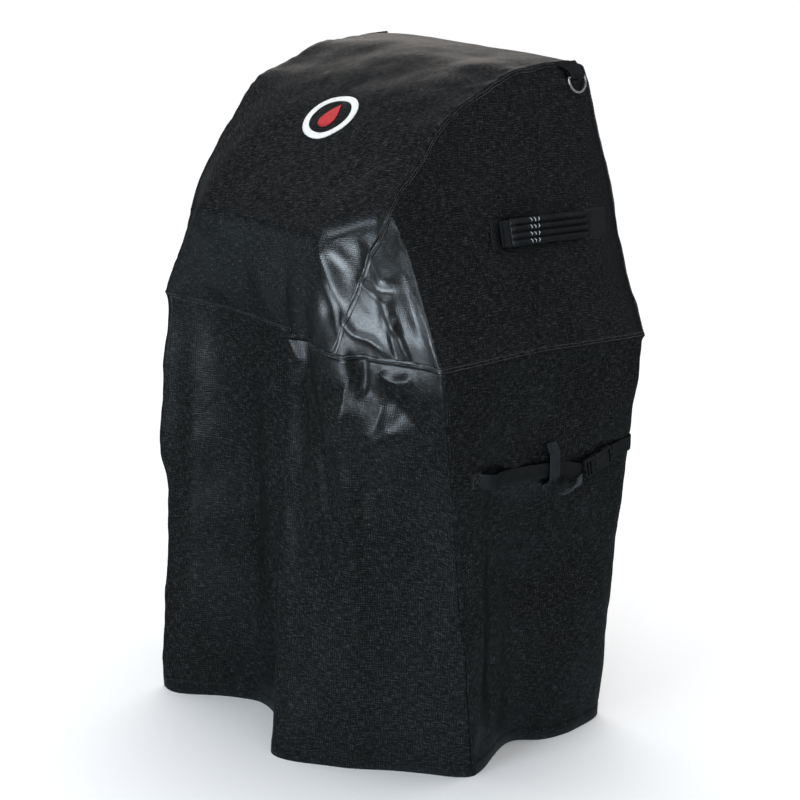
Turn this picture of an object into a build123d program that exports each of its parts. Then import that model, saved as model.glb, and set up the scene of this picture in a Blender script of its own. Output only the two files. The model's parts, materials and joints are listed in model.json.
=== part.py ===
"""Fitted cover for a freestanding grill, as it hangs over one.

Millimetres. +Z is up, -Y is the front and +X is the right side as seen from the
front. The origin lies on the floor, in the middle of the space the cover takes up.
"""

from build123d import *
import math
import os

# --- driving dimensions -------------------------------------------------------
HEIGHT = 1170.0  # floor to the flat top
WAIST_Z = 734.0  # height of the seam between hood and skirt
WAIST_HALF = 341.0  # half the width at the waist
WAIST_FRONT = -200.0
WAIST_BACK = 265.0
TOP_RIGHT = 200.0  # from the middle to the flat top's edge
TOP_LEFT = 236.0  # further out, because the hood sits askew
TOP_FRONT = 85.0
TOP_BACK = 231.0
BACK_SHOULDER = 262.0  # where the back starts to fall, below the top's rounded edge
RIDGE_HALF = 137.0  # the grill's handle pushes the front out over this half width
RIDGE_FRONT = -277.0
HEM_BACK = -RIDGE_FRONT  # the back hem reaches as far out as the front ridge
RIDGE_Z = 940.0
SKIRT_LEVELS = 12  # rows of facets down the skirt
CLOTH = 2.0  # wall of the stiff coated cloth, with its hems and facings

WEBBING = 25.0  # cinch strap
WEBBING_THICK = 1.4
HANDLE_WEBBING = 44.0
HANDLE_LENGTH = 270.0
GRIP_LENGTH = 176.0
GRIP_STANDOFF = 14.0
GRIP_RIB_R = 5.5
RING_WIRE_R = 1.9
RING_R = 20.0
PATCH_THICK = 1.2
FIT_GAP = 0.35  # clearance round a ring in its loop or a plug in its socket
LAY_GAP = 0.5  # height of a sewn piece above the flat cloth that it lies on
DRAPE_GAP = 1.2  # the same on the skirt, whose cloth is twisted

BADGE_R = 50.0

SIDES = ("right", "left")
top_edge = {"right": TOP_RIGHT, "left": TOP_LEFT}
side_slope = {side: (WAIST_HALF - top_edge[side]) / (HEIGHT - WAIST_Z) for side in SIDES}


def side_x(z, side="right"):
    """Distance from the middle to the cover's flat side at a height."""
    return top_edge[side] + side_slope[side] * (HEIGHT - z)


# --- cloth panels -------------------------------------------------------------
def inner(point):
    """The inner face's point behind a point of the outer face."""
    x, y, z = point
    middle = (WAIST_FRONT + WAIST_BACK) / 2
    rise = max(0.0, (z - WAIST_Z) / (HEIGHT - WAIST_Z))
    return (
        x * (1 - CLOTH / WAIST_HALF),
        middle + (y - middle) * (1 - CLOTH / (WAIST_BACK - middle)),
        z - CLOTH * rise,
    )


def corner_rank(point):
    """Order of a patch's corners, the same on both sides and for both its neighbours."""
    return (point[2], point[1], abs(point[0]))


def triangles(*corners):
    """A four-cornered patch as two triangles, or one where a side has no length."""
    first = min(range(4), key=lambda i: corner_rank(corners[i]))
    a, b, c, d = corners[first:] + corners[:first]
    return [t for t in ((a, b, c), (a, c, d)) if len(set(t)) == 3]


def slab(grid, back):
    """Closed solid between two grids of points, the first one outermost."""
    rows, columns = len(grid), len(grid[0])
    cells = []
    for i in range(rows - 1):
        for j in range(columns - 1):
            cells += triangles(grid[i][j], grid[i][j + 1], grid[i + 1][j + 1], grid[i + 1][j])
            cells += triangles(back[i][j], back[i + 1][j], back[i + 1][j + 1], back[i][j + 1])
    rim = [(0, j) for j in range(columns)]
    rim += [(i, columns - 1) for i in range(1, rows)]
    rim += [(rows - 1, j) for j in range(columns - 2, -1, -1)]
    rim += [(i, 0) for i in range(rows - 2, -1, -1)]
    for (i, j), (k, m) in zip(rim, rim[1:]):
        cells += triangles(grid[k][m], grid[i][j], back[i][j], back[k][m])
    return Solid(Shell([Face(Wire.make_polygon(cell)) for cell in cells]))


def cloth(grid):
    """Panel of the cloth's thickness behind a grid of outer points."""
    return slab(grid, [[inner(point) for point in row] for row in grid])


def mirrored(point):
    return (-point[0], point[1], point[2])


def between(a, b, share):
    """The point at a share of the way from a to b."""
    return tuple(p + share * (q - p) for p, q in zip(a, b))


# The right seam, from its foot in front over the shoulder and the top to the back, and
# the point of the middle panel beside each of its points.
front_foot = (118.0, -226.0, WAIST_Z)
right_front_corner = (side_x(749.0), WAIST_FRONT, 749.0)
right_back_corner = (side_x(719.0), WAIST_BACK, 719.0)
right_seam = [
    (front_foot, (64.0, -205.0, WAIST_Z)),
    ((245.0, -230.0, 976.0), (RIDGE_HALF, RIDGE_FRONT, RIDGE_Z)),
    ((240.0, -197.0, 1019.0), (134.0, -222.0, 998.0)),
    ((side_x(1057.0), -150.0, 1057.0), (130.0, -150.0, 1062.0)),
    ((side_x(1097.0), -102.0, 1097.0), (126.0, -95.0, 1102.0)),
    ((side_x(1124.0), -44.0, 1124.0), (122.0, -40.0, 1131.0)),
    ((side_x(1142.0), 13.0, 1142.0), (118.0, 20.0, 1153.0)),
    ((side_x(1163.0), 79.0, 1163.0), (114.0, TOP_FRONT, HEIGHT)),
    ((side_x(1166.0), TOP_BACK, 1166.0), (114.0, TOP_BACK, HEIGHT)),
    ((side_x(1148.0), BACK_SHOULDER, 1148.0), (112.0, BACK_SHOULDER, 1150.0)),
    (right_back_corner, (190.0, WAIST_BACK, 719.0)),
]
waist_right = [
    front_foot,
    (230.0, -221.0, 741.0),
    right_front_corner,
    (side_x(746.0), -150.0, 746.0),
    (side_x(742.0), -60.0, 742.0),
    (side_x(738.0), 10.0, 738.0),
    (side_x(733.0), 80.0, 733.0),
    (side_x(728.0), 145.0, 728.0),
    (side_x(723.0), 210.0, 723.0),
    (side_x(720.0), 250.0, 720.0),
    right_back_corner,
]

# The left seam starts at the front corner of the waist, and the shoulder is drawn in.
waist_left_line = [
    (WAIST_FRONT, 749.0),
    (WAIST_FRONT, 749.0),
    (-180.0, 748.0),
    (-150.0, 746.0),
    (-60.0, 742.0),
    (-35.0, 741.0),
    (80.0, 733.0),
    (145.0, 728.0),
    (210.0, 723.0),
    (250.0, 720.0),
    (WAIST_BACK, 719.0),
]
waist_left = [(-side_x(z, "left"), y, z) for y, z in waist_left_line]
left_seam = [
    waist_left[0],
    (-198.0, -250.0, 924.0),
    (-196.0, -197.0, 1015.0),
    (-207.0, -150.0, 1057.0),
    (-226.0, -100.0, 1097.0),
    (-side_x(1124.0, "left"), -44.0, 1124.0),
    (-side_x(1142.0, "left"), 13.0, 1142.0),
    (-side_x(1163.0, "left"), 79.0, 1163.0),
    (-side_x(1166.0, "left"), TOP_BACK, 1166.0),
    (-side_x(1148.0, "left"), BACK_SHOULDER, 1148.0),
    waist_left[-1],
]
left_middle = [mirrored(middle) for _, middle in right_seam]
left_quarter = [between(seam, middle, 0.5) for seam, middle in zip(left_seam, left_middle)]
left_quarter[0] = (-196.0, -168.0, 736.0)

# Plan points of the hem, anticlockwise from above, one for each point of the waist.
skirt_stations = {
    "front": [
        (waist_left[0], (-335.0, -232.0)),
        (between(waist_left[0], left_quarter[0], 0.45), (-281.0, -229.0)),
        (left_quarter[0], (-222.0, -184.0)),
        (between(left_quarter[0], left_middle[0], 0.5), (-152.0, -151.0)),
        (left_middle[0], (-96.0, -160.0)),
        ((-22.0, -205.0, WAIST_Z), (-45.0, -182.0)),
        ((20.0, -205.0, WAIST_Z), (-10.0, -253.0)),
        ((64.0, -205.0, WAIST_Z), (45.0, -250.0)),
        (front_foot, (100.0, -218.0)),
        (waist_right[1], (205.0, -141.0)),
        (right_front_corner, (300.0, -69.0)),
    ],
    "right": [
        (right_front_corner, (300.0, -69.0)),
        (waist_right[3], (288.0, -36.0)),
        (waist_right[4], (262.0, 30.0)),
        (waist_right[5], (259.0, 72.0)),
        (waist_right[6], (290.0, 112.0)),
        (waist_right[7], (302.0, 160.0)),
        (waist_right[8], (305.0, 215.0)),
        (waist_right[9], (298.0, 255.0)),
        (right_back_corner, (288.0, 270.0)),
    ],
    "back": [
        (right_back_corner, (288.0, 270.0)),
        ((190.0, WAIST_BACK, 719.0), (170.0, 262.0)),
        ((64.0, WAIST_BACK, 719.0), (60.0, HEM_BACK)),
        ((-64.0, WAIST_BACK, 719.0), (-60.0, HEM_BACK)),
        ((-190.0, WAIST_BACK, 719.0), (-170.0, 262.0)),
        (waist_left[-1], (-288.0, 270.0)),
    ],
    "left": [
        (waist_left[10], (-288.0, 270.0)),
        (waist_left[9], (-298.0, 255.0)),
        (waist_left[8], (-305.0, 215.0)),
        (waist_left[7], (-302.0, 160.0)),
        (waist_left[6], (-290.0, 112.0)),
        (between(waist_left[5], waist_left[6], 0.4), (-259.0, 72.0)),
        (waist_left[5], (-261.0, 44.0)),
        (waist_left[4], (-262.0, 30.0)),
        (waist_left[3], (-288.0, -36.0)),
        (waist_left[2], (-303.0, -98.0)),
        (waist_left[0], (-335.0, -232.0)),
    ],
}


def hood_middle():
    """Front, lid, top and back in one strip, seamed along both sides."""
    left = zip(left_seam, left_quarter, left_middle)
    return cloth([[*points, middle, seam] for points, (seam, middle) in zip(left, right_seam)])


def hood_side_right():
    """Gusset from the seam over the shoulder down to the waist, and round to the front."""
    return cloth([waist_right, [seam for seam, _ in right_seam]])


def hood_side_left():
    """Gusset that ends at the front corner."""
    return cloth([left_seam, waist_left])


def skirt(name):
    """Skirt panel, straight from the waist down to the hem at each station."""
    rows = []
    for level in range(SKIRT_LEVELS + 1):
        share = level / SKIRT_LEVELS
        rows.append([between((*hem, 0.0), waist, share) for waist, hem in skirt_stations[name]])
    return cloth(rows)


def skirt_point(name, index, z, out=0.0):
    """A point of a skirt panel's outer face, at a height, moved out by a distance.

    The index counts the panel's stations and may fall between two of them.
    """
    stations = skirt_stations[name]
    low = min(int(index), len(stations) - 2)
    waist = between(stations[low][0], stations[low + 1][0], index - low)
    hem = between(stations[low][1], stations[low + 1][1], index - low)
    x, y, _ = between((*hem, 0.0), waist, z / waist[2])
    if name == "back":
        return (x, y + out, z)
    return (x + out, y, z)


def block(x, y, z):
    """Solid box between the lowest and highest values of each axis."""
    middle = [(low + high) / 2 for low, high in (x, y, z)]
    return Pos(*middle) * Box(x[1] - x[0], y[1] - y[0], z[1] - z[0])


# --- hardware on the hood's side ----------------------------------------------
HANDLE_Y = 104.0
HANDLE_Z = 918.0
HANDLE_DROOP = 4.3  # degrees, the rear end lower
RING_Y = 231.0
RING_Z = 1139.0
RING_AXIS_OUT = 5.0


def side_frame(side, y, z, droop=0.0):
    """Frame on a flat side: x towards the back, y up the slope, z outward.

    The left side's frame is on its mirror image, as all the left hardware is until the end.
    """
    normal = Vector(1, 0, side_slope[side]).normalized()
    along = Vector(0, 1, 0).rotate(Axis((0, 0, 0), normal), -droop)
    return Plane(origin=(side_x(z, side), y, z), x_dir=along, z_dir=normal)


def handle_frame(side):
    return side_frame(side, HANDLE_Y, HANDLE_Z, HANDLE_DROOP)


def ring_frame(side):
    return side_frame(side, RING_Y, RING_Z)


def plate(frame, x, y, z):
    """Flat piece between the lowest and highest values of each axis of a frame."""
    outline = Pos((x[0] + x[1]) / 2, (y[0] + y[1]) / 2, z[0])
    return frame * outline * extrude(Rectangle(x[1] - x[0], y[1] - y[0]), z[1] - z[0])


handle_end = HANDLE_LENGTH / 2
grip_front = -handle_end + 31.0
grip_back = grip_front + GRIP_LENGTH
patch_front = (-handle_end, -handle_end + 22.0)
patch_back = (grip_back + 12.0, handle_end)
patch_half = HANDLE_WEBBING / 2 + 3.0


def handle_patch(side, span):
    """Box-stitched end of the handle."""
    flat = (LAY_GAP, LAY_GAP + PATCH_THICK)
    return plate(handle_frame(side), span, (-patch_half, patch_half), flat)


def handle_backing(side):
    """Facing inside the hood that spreads the handle's pull."""
    deep = -CLOTH - LAY_GAP
    span = (-handle_end - 8.0, handle_end + 2.0)
    return plate(handle_frame(side), span, (-30.0, 30.0), (deep - PATCH_THICK, deep))


def handle_web(side):
    """Free webbing from each patch up to the grip, which stands off the cloth."""
    pieces = []
    for foot, head in ((patch_front[1], grip_front), (patch_back[0], grip_back)):
        toward = 1.0 if head > foot else -1.0
        low = LAY_GAP + PATCH_THICK
        high = GRIP_STANDOFF + GRIP_RIB_R
        profile = Polyline(
            (foot - toward * 8.0, low),
            (foot + toward * 1.0, low),
            (head - toward * 1.0, high),
            (head - toward * 1.0, high + 1.8),
            (foot, low + 1.8),
            (foot - toward * 8.0, low + 1.8),
            close=True,
        )
        section = make_face(profile)
        strip = extrude(Plane.XZ * section, HANDLE_WEBBING / 2, both=True)
        pieces.append(handle_frame(side) * strip)
    return Compound(children=pieces)


def handle_grip(side):
    """Padded sleeve with its sewn ribs."""
    pitch = HANDLE_WEBBING / 4
    core = Rectangle(HANDLE_WEBBING - 8.0, 6.0)
    section = core
    for i in range(4):
        section += Pos((i - 1.5) * pitch, 0) * Circle(GRIP_RIB_R)
    grip = extrude(section, GRIP_LENGTH)
    rise = GRIP_STANDOFF + GRIP_RIB_R
    laid = Location((grip_front, 0, rise)) * Rot(0, 90, 0) * Rot(0, 0, 90)
    return handle_frame(side) * laid * grip


loop_r = RING_WIRE_R + FIT_GAP
TAB_HALF = 16.0
RING_LEG = 6.0


def ring_tab(side):
    """Webbing tab from the top seam, folded round the ring's bar."""
    top = (HEIGHT - 6.0 - RING_Z) * math.hypot(1, side_slope[side])
    flap = Polyline(
        (-44.0, top),
        (8.0, top),
        (TAB_HALF, 0.0),
        (-TAB_HALF, 0.0),
        close=True,
    )
    upper = Pos(0, 0, LAY_GAP) * extrude(make_face(flap), PATCH_THICK)
    across = Pos(0, 0, RING_AXIS_OUT) * Rot(0, 90, 0)
    loop = across * extrude(Circle(loop_r + PATCH_THICK), TAB_HALF, both=True)
    foot = block((-TAB_HALF, TAB_HALF), (1.0, 7.0), (LAY_GAP, RING_AXIS_OUT))
    hollow = across * extrude(Circle(loop_r), TAB_HALF + 1.0, both=True)
    return ring_frame(side) * (upper + loop + foot - hollow)


def d_ring(side):
    """Wire ring with a straight bar along its top."""
    corners = ((-RING_R, -RING_LEG), (-RING_R, 0), (RING_R, 0), (RING_R, -RING_LEG))
    top = FilletPolyline(*corners, radius=RING_R - TAB_HALF - LAY_GAP)
    bend = ThreePointArc(corners[3], (0, -RING_LEG - RING_R), corners[0])
    path = Wire([*top.edges(), *bend.edges()])
    start = Plane(origin=path @ 0, z_dir=path % 0)
    ring = sweep(start * Circle(RING_WIRE_R), path=path)
    return ring_frame(side) * Pos(0, 0, RING_AXIS_OUT) * ring


# --- cinch strap, low on the cover's side -------------------------------------
STRAP_X = 338.0  # inner face of the strap, where it stands off the cloth
BUCKLE_Y = 162.0  # joint line between plug and socket
BUCKLE_Z = 516.0
BUCKLE_TILT = 12.0
BUCKLE_W = 33.0
BUCKLE_T = 10.0
PLUG_FRAME = 24.0
PLUG_REACH = 25.0
SOCKET_DEEP = 28.0
SOCKET_LENGTH = 42.0
WEB_SLOT = 4.0
SLOT_HALF = 13.0
KEEPER_Y = 69.0
KEEPER_HALF = 9.0
KEEPER_LOW = 503.0
KEEPER_HIGH = 566.0
KEEPER_FLANGE = 8.0
KEEPER_DEEP = 5.0  # how far the strap is drawn in at its keeper


def band(path, width, thickness):
    """Webbing on edge along a path, its outer face away from the cover's middle."""
    outer_line = []
    for i, point in enumerate(path):
        before = path[max(i - 1, 0)]
        after = path[min(i + 1, len(path) - 1)]
        run = Vector(after[0] - before[0], after[1] - before[1], 0).normalized()
        outer_line.append((point[0] + run.Y * thickness, point[1] - run.X * thickness, point[2]))
    edges = (-width / 2, width / 2)
    front = [[(x, y, z + edge) for x, y, z in outer_line] for edge in edges]
    back = [[(x, y, z + edge) for x, y, z in path] for edge in edges]
    return slab(front, back)


def cloth_patch(name, indexes, z_low, z_high):
    """Patch sewn flat on a skirt panel."""
    layers = []
    for out in (DRAPE_GAP + PATCH_THICK, DRAPE_GAP):
        layers.append([[skirt_point(name, i, z, out) for i in indexes] for z in (z_low, z_high)])
    return slab(*layers)


def strap_anchor_front():
    """Stitched tack that holds the strap's front end."""
    return cloth_patch("right", (1.04, 1.3), 538.0, 568.0)


def strap_anchor_rear():
    """Stitched tack on the back panel, just round the corner."""
    return cloth_patch("back", (0.36, 0.66), 510.0, 544.0)


def strap_webbing_front():
    """Webbing from the front tack, where it bulges, through the keeper to the plug."""
    path = [
        (STRAP_X - 9.0, -104.0, 551.0),
        (STRAP_X + 1.0, -94.0, 549.0),
        (STRAP_X + 5.0, -84.0, 547.0),
        (STRAP_X + 1.0, -72.0, 545.0),
        (STRAP_X - 6.0, -55.0, 542.0),
        (STRAP_X - 11.0, -20.0, 538.0),
        (STRAP_X - 11.0, 10.0, 534.0),
        (STRAP_X - 8.0, 40.0, 531.0),
        (STRAP_X - KEEPER_DEEP, KEEPER_Y, 528.0),
        (STRAP_X - 1.0, 100.0, 522.0),
        (STRAP_X + 1.0, 134.0, 510.0),
    ]
    return band(path, WEBBING, WEBBING_THICK)


def strap_webbing_rear():
    """Webbing from the socket round the back corner."""
    path = [
        (STRAP_X + 2.0, 208.0, 526.0),
        (STRAP_X, 232.0, 528.0),
        (STRAP_X - 1.0, 258.0, 528.0),
        (STRAP_X - 6.0, 269.0, 528.0),
        (STRAP_X - 18.0, 272.5, 528.0),
        (STRAP_X - 80.0, 271.5, 527.0),
    ]
    return band(path, WEBBING, WEBBING_THICK)


def strap_tail():
    """Free end of the webbing, folded back under the plug."""
    path = [
        (STRAP_X + 4.0, 88.0, 487.0),
        (STRAP_X + 7.0, 104.0, 489.0),
        (STRAP_X + 5.0, 120.0, 493.0),
        (STRAP_X + 3.0, 134.0, 498.0),
    ]
    return band(path, WEBBING * 0.7, WEBBING_THICK)


def strap_keeper():
    """Upright loop of webbing that the strap passes behind."""
    stand = STRAP_X - KEEPER_DEEP + WEBBING_THICK + 2.0
    profile = [
        (KEEPER_LOW - KEEPER_FLANGE, None),
        (KEEPER_LOW, None),
        (KEEPER_LOW + 8.0, stand),
        (KEEPER_HIGH - 8.0, stand),
        (KEEPER_HIGH, None),
        (KEEPER_HIGH + KEEPER_FLANGE, None),
    ]
    layers = []
    for out in (WEBBING_THICK, 0.0):
        rows = []
        for z, x in profile:
            row = []
            for end in (-1, 1):
                on_cloth = skirt_point("right", 3.67 + end * 0.15, z, DRAPE_GAP)[0]
                row.append(((x or on_cloth) + out, KEEPER_Y + end * KEEPER_HALF, z))
            rows.append(row)
        layers.append(rows)
    return slab(*layers)


buckle_frame = Plane(
    origin=(STRAP_X - 1.5, BUCKLE_Y, BUCKLE_Z),
    x_dir=Vector(0, 1, 0).rotate(Axis.X, BUCKLE_TILT),
    z_dir=(1, 0, 0),
)


def buckle_plug():
    """Adjuster frame with two sprung arms and a guide between them."""
    half = BUCKLE_W / 2
    frame = block((-PLUG_FRAME, -0.5), (-half, half), (1.0, BUCKLE_T - 1.0))
    frame = fillet(frame.edges().filter_by(Axis.X), 2.5)
    for start in (-PLUG_FRAME + 3.5, -PLUG_FRAME + 3.5 + WEB_SLOT + 3.5):
        frame -= block((start, start + WEB_SLOT), (-SLOT_HALF, SLOT_HALF), (-1.0, BUCKLE_T + 1.0))
    low = BUCKLE_T / 2 - 2.0
    high = BUCKLE_T / 2 + 2.0
    plug = frame + block((-2.0, PLUG_REACH - 4.0), (-2.2, 2.2), (low, high))
    arm = Polyline(
        (-2.0, 8.0),
        (12.0, 9.0),
        (14.0, 9.0),
        (PLUG_REACH - 3.0, 7.0),
        (PLUG_REACH, 8.0),
        (15.0, 14.0),
        (13.0, 14.0),
        (11.0, 11.8),
        (-2.0, 11.5),
        close=True,
    )
    prong = Pos(0, 0, low) * extrude(make_face(arm), high - low)
    return buckle_frame * (plug + prong + mirror(prong, about=Plane.XZ))


def buckle_socket():
    """Shell that the plug clicks into, with a window on each side."""
    half = BUCKLE_W / 2
    body = block((0.0, SOCKET_LENGTH), (-half, half), (0.0, BUCKLE_T))
    body = fillet(body.edges().filter_by(Axis.X), 3.0)
    opening = (BUCKLE_T / 2 - 2.4, BUCKLE_T / 2 + 2.4)
    body -= block((-1.0, SOCKET_DEEP), (-14.4, 14.4), opening)
    body -= block((12.0, 22.0), (-half - 1.0, half + 1.0), opening)
    slot = (SOCKET_LENGTH - 3.5 - WEB_SLOT, SOCKET_LENGTH - 3.5)
    body -= block(slot, (-SLOT_HALF, SLOT_HALF), (-1.0, BUCKLE_T + 1.0))
    return buckle_frame * body


# --- badge on the lid's slope -------------------------------------------------
badge_low = (0.0, -150.0, 1062.0)
badge_high = (0.0, -95.0, 1102.0)
badge_slope = math.degrees(math.atan2(badge_high[2] - badge_low[2], badge_high[1] - badge_low[1]))
badge_frame = Plane(
    origin=between(badge_low, badge_high, 0.6),
    x_dir=(1, 0, 0),
    z_dir=Vector(0, 0, 1).rotate(Axis.X, badge_slope),
)
BADGE_THICK = 0.6


def badge_ring():
    ring = Circle(BADGE_R) - Circle(BADGE_R * 0.76)
    return badge_frame * Pos(0, 0, LAY_GAP) * extrude(ring, BADGE_THICK)


def badge_flame():
    """Plain flame, pointed at the top and rounded below."""
    size = BADGE_R * 0.52
    tip = (0, size * 1.1)
    right = (size * 0.62, -size * 0.35)
    left = (-size * 0.62, -size * 0.35)
    sides = [
        ThreePointArc(tip, (size * 0.4, size * 0.4), right),
        ThreePointArc(right, (0, -size), left),
        ThreePointArc(left, (-size * 0.4, size * 0.4), tip),
    ]
    flame = make_face(Wire([edge for side in sides for edge in side.edges()]))
    return badge_frame * Pos(0, 0, LAY_GAP) * extrude(flame, BADGE_THICK)


# --- every piece, written one file each ---------------------------------------
one_of_each = {
    "hood_middle_panel": hood_middle(),
    "hood_side_panel_right": hood_side_right(),
    "hood_side_panel_left": hood_side_left(),
    "skirt_front_panel": skirt("front"),
    "skirt_right_panel": skirt("right"),
    "skirt_back_panel": skirt("back"),
    "skirt_left_panel": skirt("left"),
    "badge_ring": badge_ring(),
    "badge_flame": badge_flame(),
}
side_hardware = {
    "handle_webbing": handle_web,
    "handle_grip": handle_grip,
    "handle_patch_front": lambda side: handle_patch(side, patch_front),
    "handle_patch_back": lambda side: handle_patch(side, patch_back),
    "handle_backing": handle_backing,
    "ring_tab": ring_tab,
    "d_ring": d_ring,
}
strap_pieces = {
    "strap_anchor_front": strap_anchor_front(),
    "strap_anchor_rear": strap_anchor_rear(),
    "strap_webbing_front": strap_webbing_front(),
    "strap_webbing_rear": strap_webbing_rear(),
    "strap_tail": strap_tail(),
    "strap_keeper": strap_keeper(),
    "buckle_plug": buckle_plug(),
    "buckle_socket": buckle_socket(),
}

os.makedirs("parts", exist_ok=True)
for node, shape in one_of_each.items():
    export_step(shape, f"parts/{node}.step")
for node, make in side_hardware.items():
    export_step(make("right"), f"parts/{node}_right.step")
    export_step(mirror(make("left"), about=Plane.YZ), f"parts/{node}_left.step")
for node, shape in strap_pieces.items():
    export_step(shape, f"parts/{node}_right.step")
    export_step(mirror(shape, about=Plane.YZ), f"parts/{node}_left.step")
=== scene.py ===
"""Looks of a fitted grill cover as it drapes over its grill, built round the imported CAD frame."""

import json
import math

import bmesh
import bpy
import numpy as np
from mathutils import Matrix, Vector
from mathutils.bvhtree import BVHTree


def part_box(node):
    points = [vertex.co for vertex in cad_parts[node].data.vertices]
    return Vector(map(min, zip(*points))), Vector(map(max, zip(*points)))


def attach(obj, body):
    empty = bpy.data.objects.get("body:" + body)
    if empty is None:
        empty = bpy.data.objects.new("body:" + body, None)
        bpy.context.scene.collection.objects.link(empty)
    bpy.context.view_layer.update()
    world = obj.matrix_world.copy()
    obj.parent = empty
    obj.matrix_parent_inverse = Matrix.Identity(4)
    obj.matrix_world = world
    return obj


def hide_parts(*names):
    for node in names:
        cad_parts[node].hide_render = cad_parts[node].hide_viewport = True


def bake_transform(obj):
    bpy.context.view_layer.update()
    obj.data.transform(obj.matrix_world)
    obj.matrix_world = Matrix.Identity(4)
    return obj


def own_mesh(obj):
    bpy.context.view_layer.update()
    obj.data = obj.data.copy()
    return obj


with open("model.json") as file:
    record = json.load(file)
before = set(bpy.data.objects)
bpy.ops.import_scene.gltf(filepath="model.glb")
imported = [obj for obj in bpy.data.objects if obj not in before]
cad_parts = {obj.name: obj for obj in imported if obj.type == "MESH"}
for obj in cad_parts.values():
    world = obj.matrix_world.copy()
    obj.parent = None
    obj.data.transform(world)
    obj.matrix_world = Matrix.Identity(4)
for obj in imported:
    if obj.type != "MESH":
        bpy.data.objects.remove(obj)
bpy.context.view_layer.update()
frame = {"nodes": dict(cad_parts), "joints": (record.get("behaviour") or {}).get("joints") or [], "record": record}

MM = 0.001
rng = np.random.default_rng(7)

# --- driving sizes, in millimetres as in the CAD ---
HEIGHT = 1170.0
WAIST_Z = 734.0
RIGHT_TOP, LEFT_TOP = 200.0, 236.0
WAIST_HALF = 341.0
CLOTH = 0.9
GRID = 5.0  # spacing of the cloth's mesh


def side_x(z, side=1):
    """Distance from the middle to the flat side at a height; side is 1 right, -1 left."""
    top = RIGHT_TOP if side > 0 else LEFT_TOP
    return top + (WAIST_HALF - top) / (HEIGHT - WAIST_Z) * (HEIGHT - z)


# --- curves and grids ---
def spline(points, samples):
    """Points along a smooth curve through the given ones, evenly spaced in its parameter."""
    p = np.asarray(points, float)
    p = np.concatenate([2 * p[:1] - p[1:2], p, 2 * p[-1:] - p[-2:-1]])
    t = np.linspace(0, len(p) - 3, samples)
    i = np.minimum(t.astype(int), len(p) - 4)
    f = (t - i).reshape(-1, *[1] * (p.ndim - 1))
    a, b, c, d = p[i], p[i + 1], p[i + 2], p[i + 3]
    return 0.5 * (2 * b + (c - a) * f + (2 * a - 5 * b + 4 * c - d) * f**2 + (3 * b - a - 3 * c + d) * f**3)


def lengths(line):
    """Distance along a line of points, from its start."""
    return np.concatenate([[0], np.cumsum(np.linalg.norm(np.diff(line, axis=0), axis=1))])


def at(line, distance):
    """Points at distances along a line of points."""
    s = lengths(line)
    return np.stack([np.interp(distance, s, line[:, k]) for k in range(3)], -1)


def even(line, count):
    """The same line with its points evenly spaced."""
    return at(line, np.linspace(0, lengths(line)[-1], count))


def place_on(line, point):
    """Distance along a line of its point nearest to the given one."""
    return lengths(line)[np.argmin(np.linalg.norm(line - np.asarray(point, float), axis=1))]


def fade(x):
    """Smooth step from 0 to 1."""
    x = np.clip(x, 0, 1)
    return x * x * (3 - 2 * x)


def mix(a, b, share):
    return a + (b - a) * share


# --- the cloth's lines ---
# Round the cover from the left front corner, anticlockwise from above: a point of the
# waist seam, and the plan point of the hem below it.
front_line = [
    ((-339, -200, 743), (-336, -234)),
    ((-306, -190, 738), (-304, -238)),
    ((-268, -179, 736), (-277, -228)),
    ((-230, -170, 734), (-238, -196)),
    ((-190, -166, 734), (-202, -172)),
    ((-146, -168, 734), (-166, -156)),
    ((-104, -173, 734), (-128, -158)),
    ((-66, -174, 734), (-96, -166)),
    ((-40, -171, 734), (-62, -168)),
    ((-24, -182, 734), (-30, -192)),
    ((-14, -202, 734), (-11, -252)),
    ((6, -197, 734), (14, -263)),
    ((28, -194, 734), (42, -255)),
    ((58, -217, 734), (78, -236)),
    ((90, -229, 734), (102, -220)),
    ((118, -231, 734), (124, -208)),
    ((148, -229, 735), (152, -188)),
    ((160, -206, 736), (176, -168)),
    ((205, -198, 738), (210, -144)),
    ((250, -191, 741), (246, -118)),
    ((304, -189, 746), (280, -94)),
    ((336, -199, 749), (301, -70)),
]
right_line = [
    ((336, -199, 749), (301, -70)),
    ((337, -150, 746), (291, -38)),
    ((339, -90, 744), (272, 4)),
    ((339, -30, 741), (257, 44)),
    ((340, 30, 738), (260, 78)),
    ((341, 85, 733), (288, 110)),
    ((343, 145, 728), (303, 152)),
    ((345, 205, 723), (306, 206)),
    ((346, 245, 720), (301, 246)),
    ((346, 265, 719), (289, 268)),
]
back_line = [
    ((346, 265, 719), (289, 268)),
    ((260, 266, 719), (232, 266)),
    ((160, 266, 719), (156, 264)),
    ((60, 266, 719), (64, 275)),
    ((-40, 266, 719), (-30, 274)),
    ((-140, 266, 719), (-130, 266)),
    ((-260, 266, 719), (-230, 265)),
    ((-345, 265, 719), (-289, 268)),
]
left_line = [
    ((-345, 265, 719), (-289, 268)),
    ((-344, 245, 720), (-300, 248)),
    ((-344, 205, 723), (-306, 208)),
    ((-342, 145, 728), (-302, 156)),
    ((-341, 85, 733), (-288, 110)),
    ((-340, 30, 738), (-262, 76)),
    ((-339, -30, 741), (-262, 38)),
    ((-338, -90, 743), (-276, 0)),
    ((-338, -150, 744), (-304, -100)),
    ((-339, -200, 743), (-336, -234)),
]

waists = {
    name: spline([waist for waist, _ in line], 900)
    for name, line in (("front", front_line), ("right", right_line), ("left", left_line))
}
FOOT_X = 118.0  # where the right hood seam meets the waist, in front
LOBE_X = 64.0  # where the front's middle part ends at the waist
foot_at = place_on(waists["front"], (FOOT_X, -231, WAIST_Z))
lobe_at = place_on(waists["front"], (LOBE_X, -220, WAIST_Z))

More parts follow.
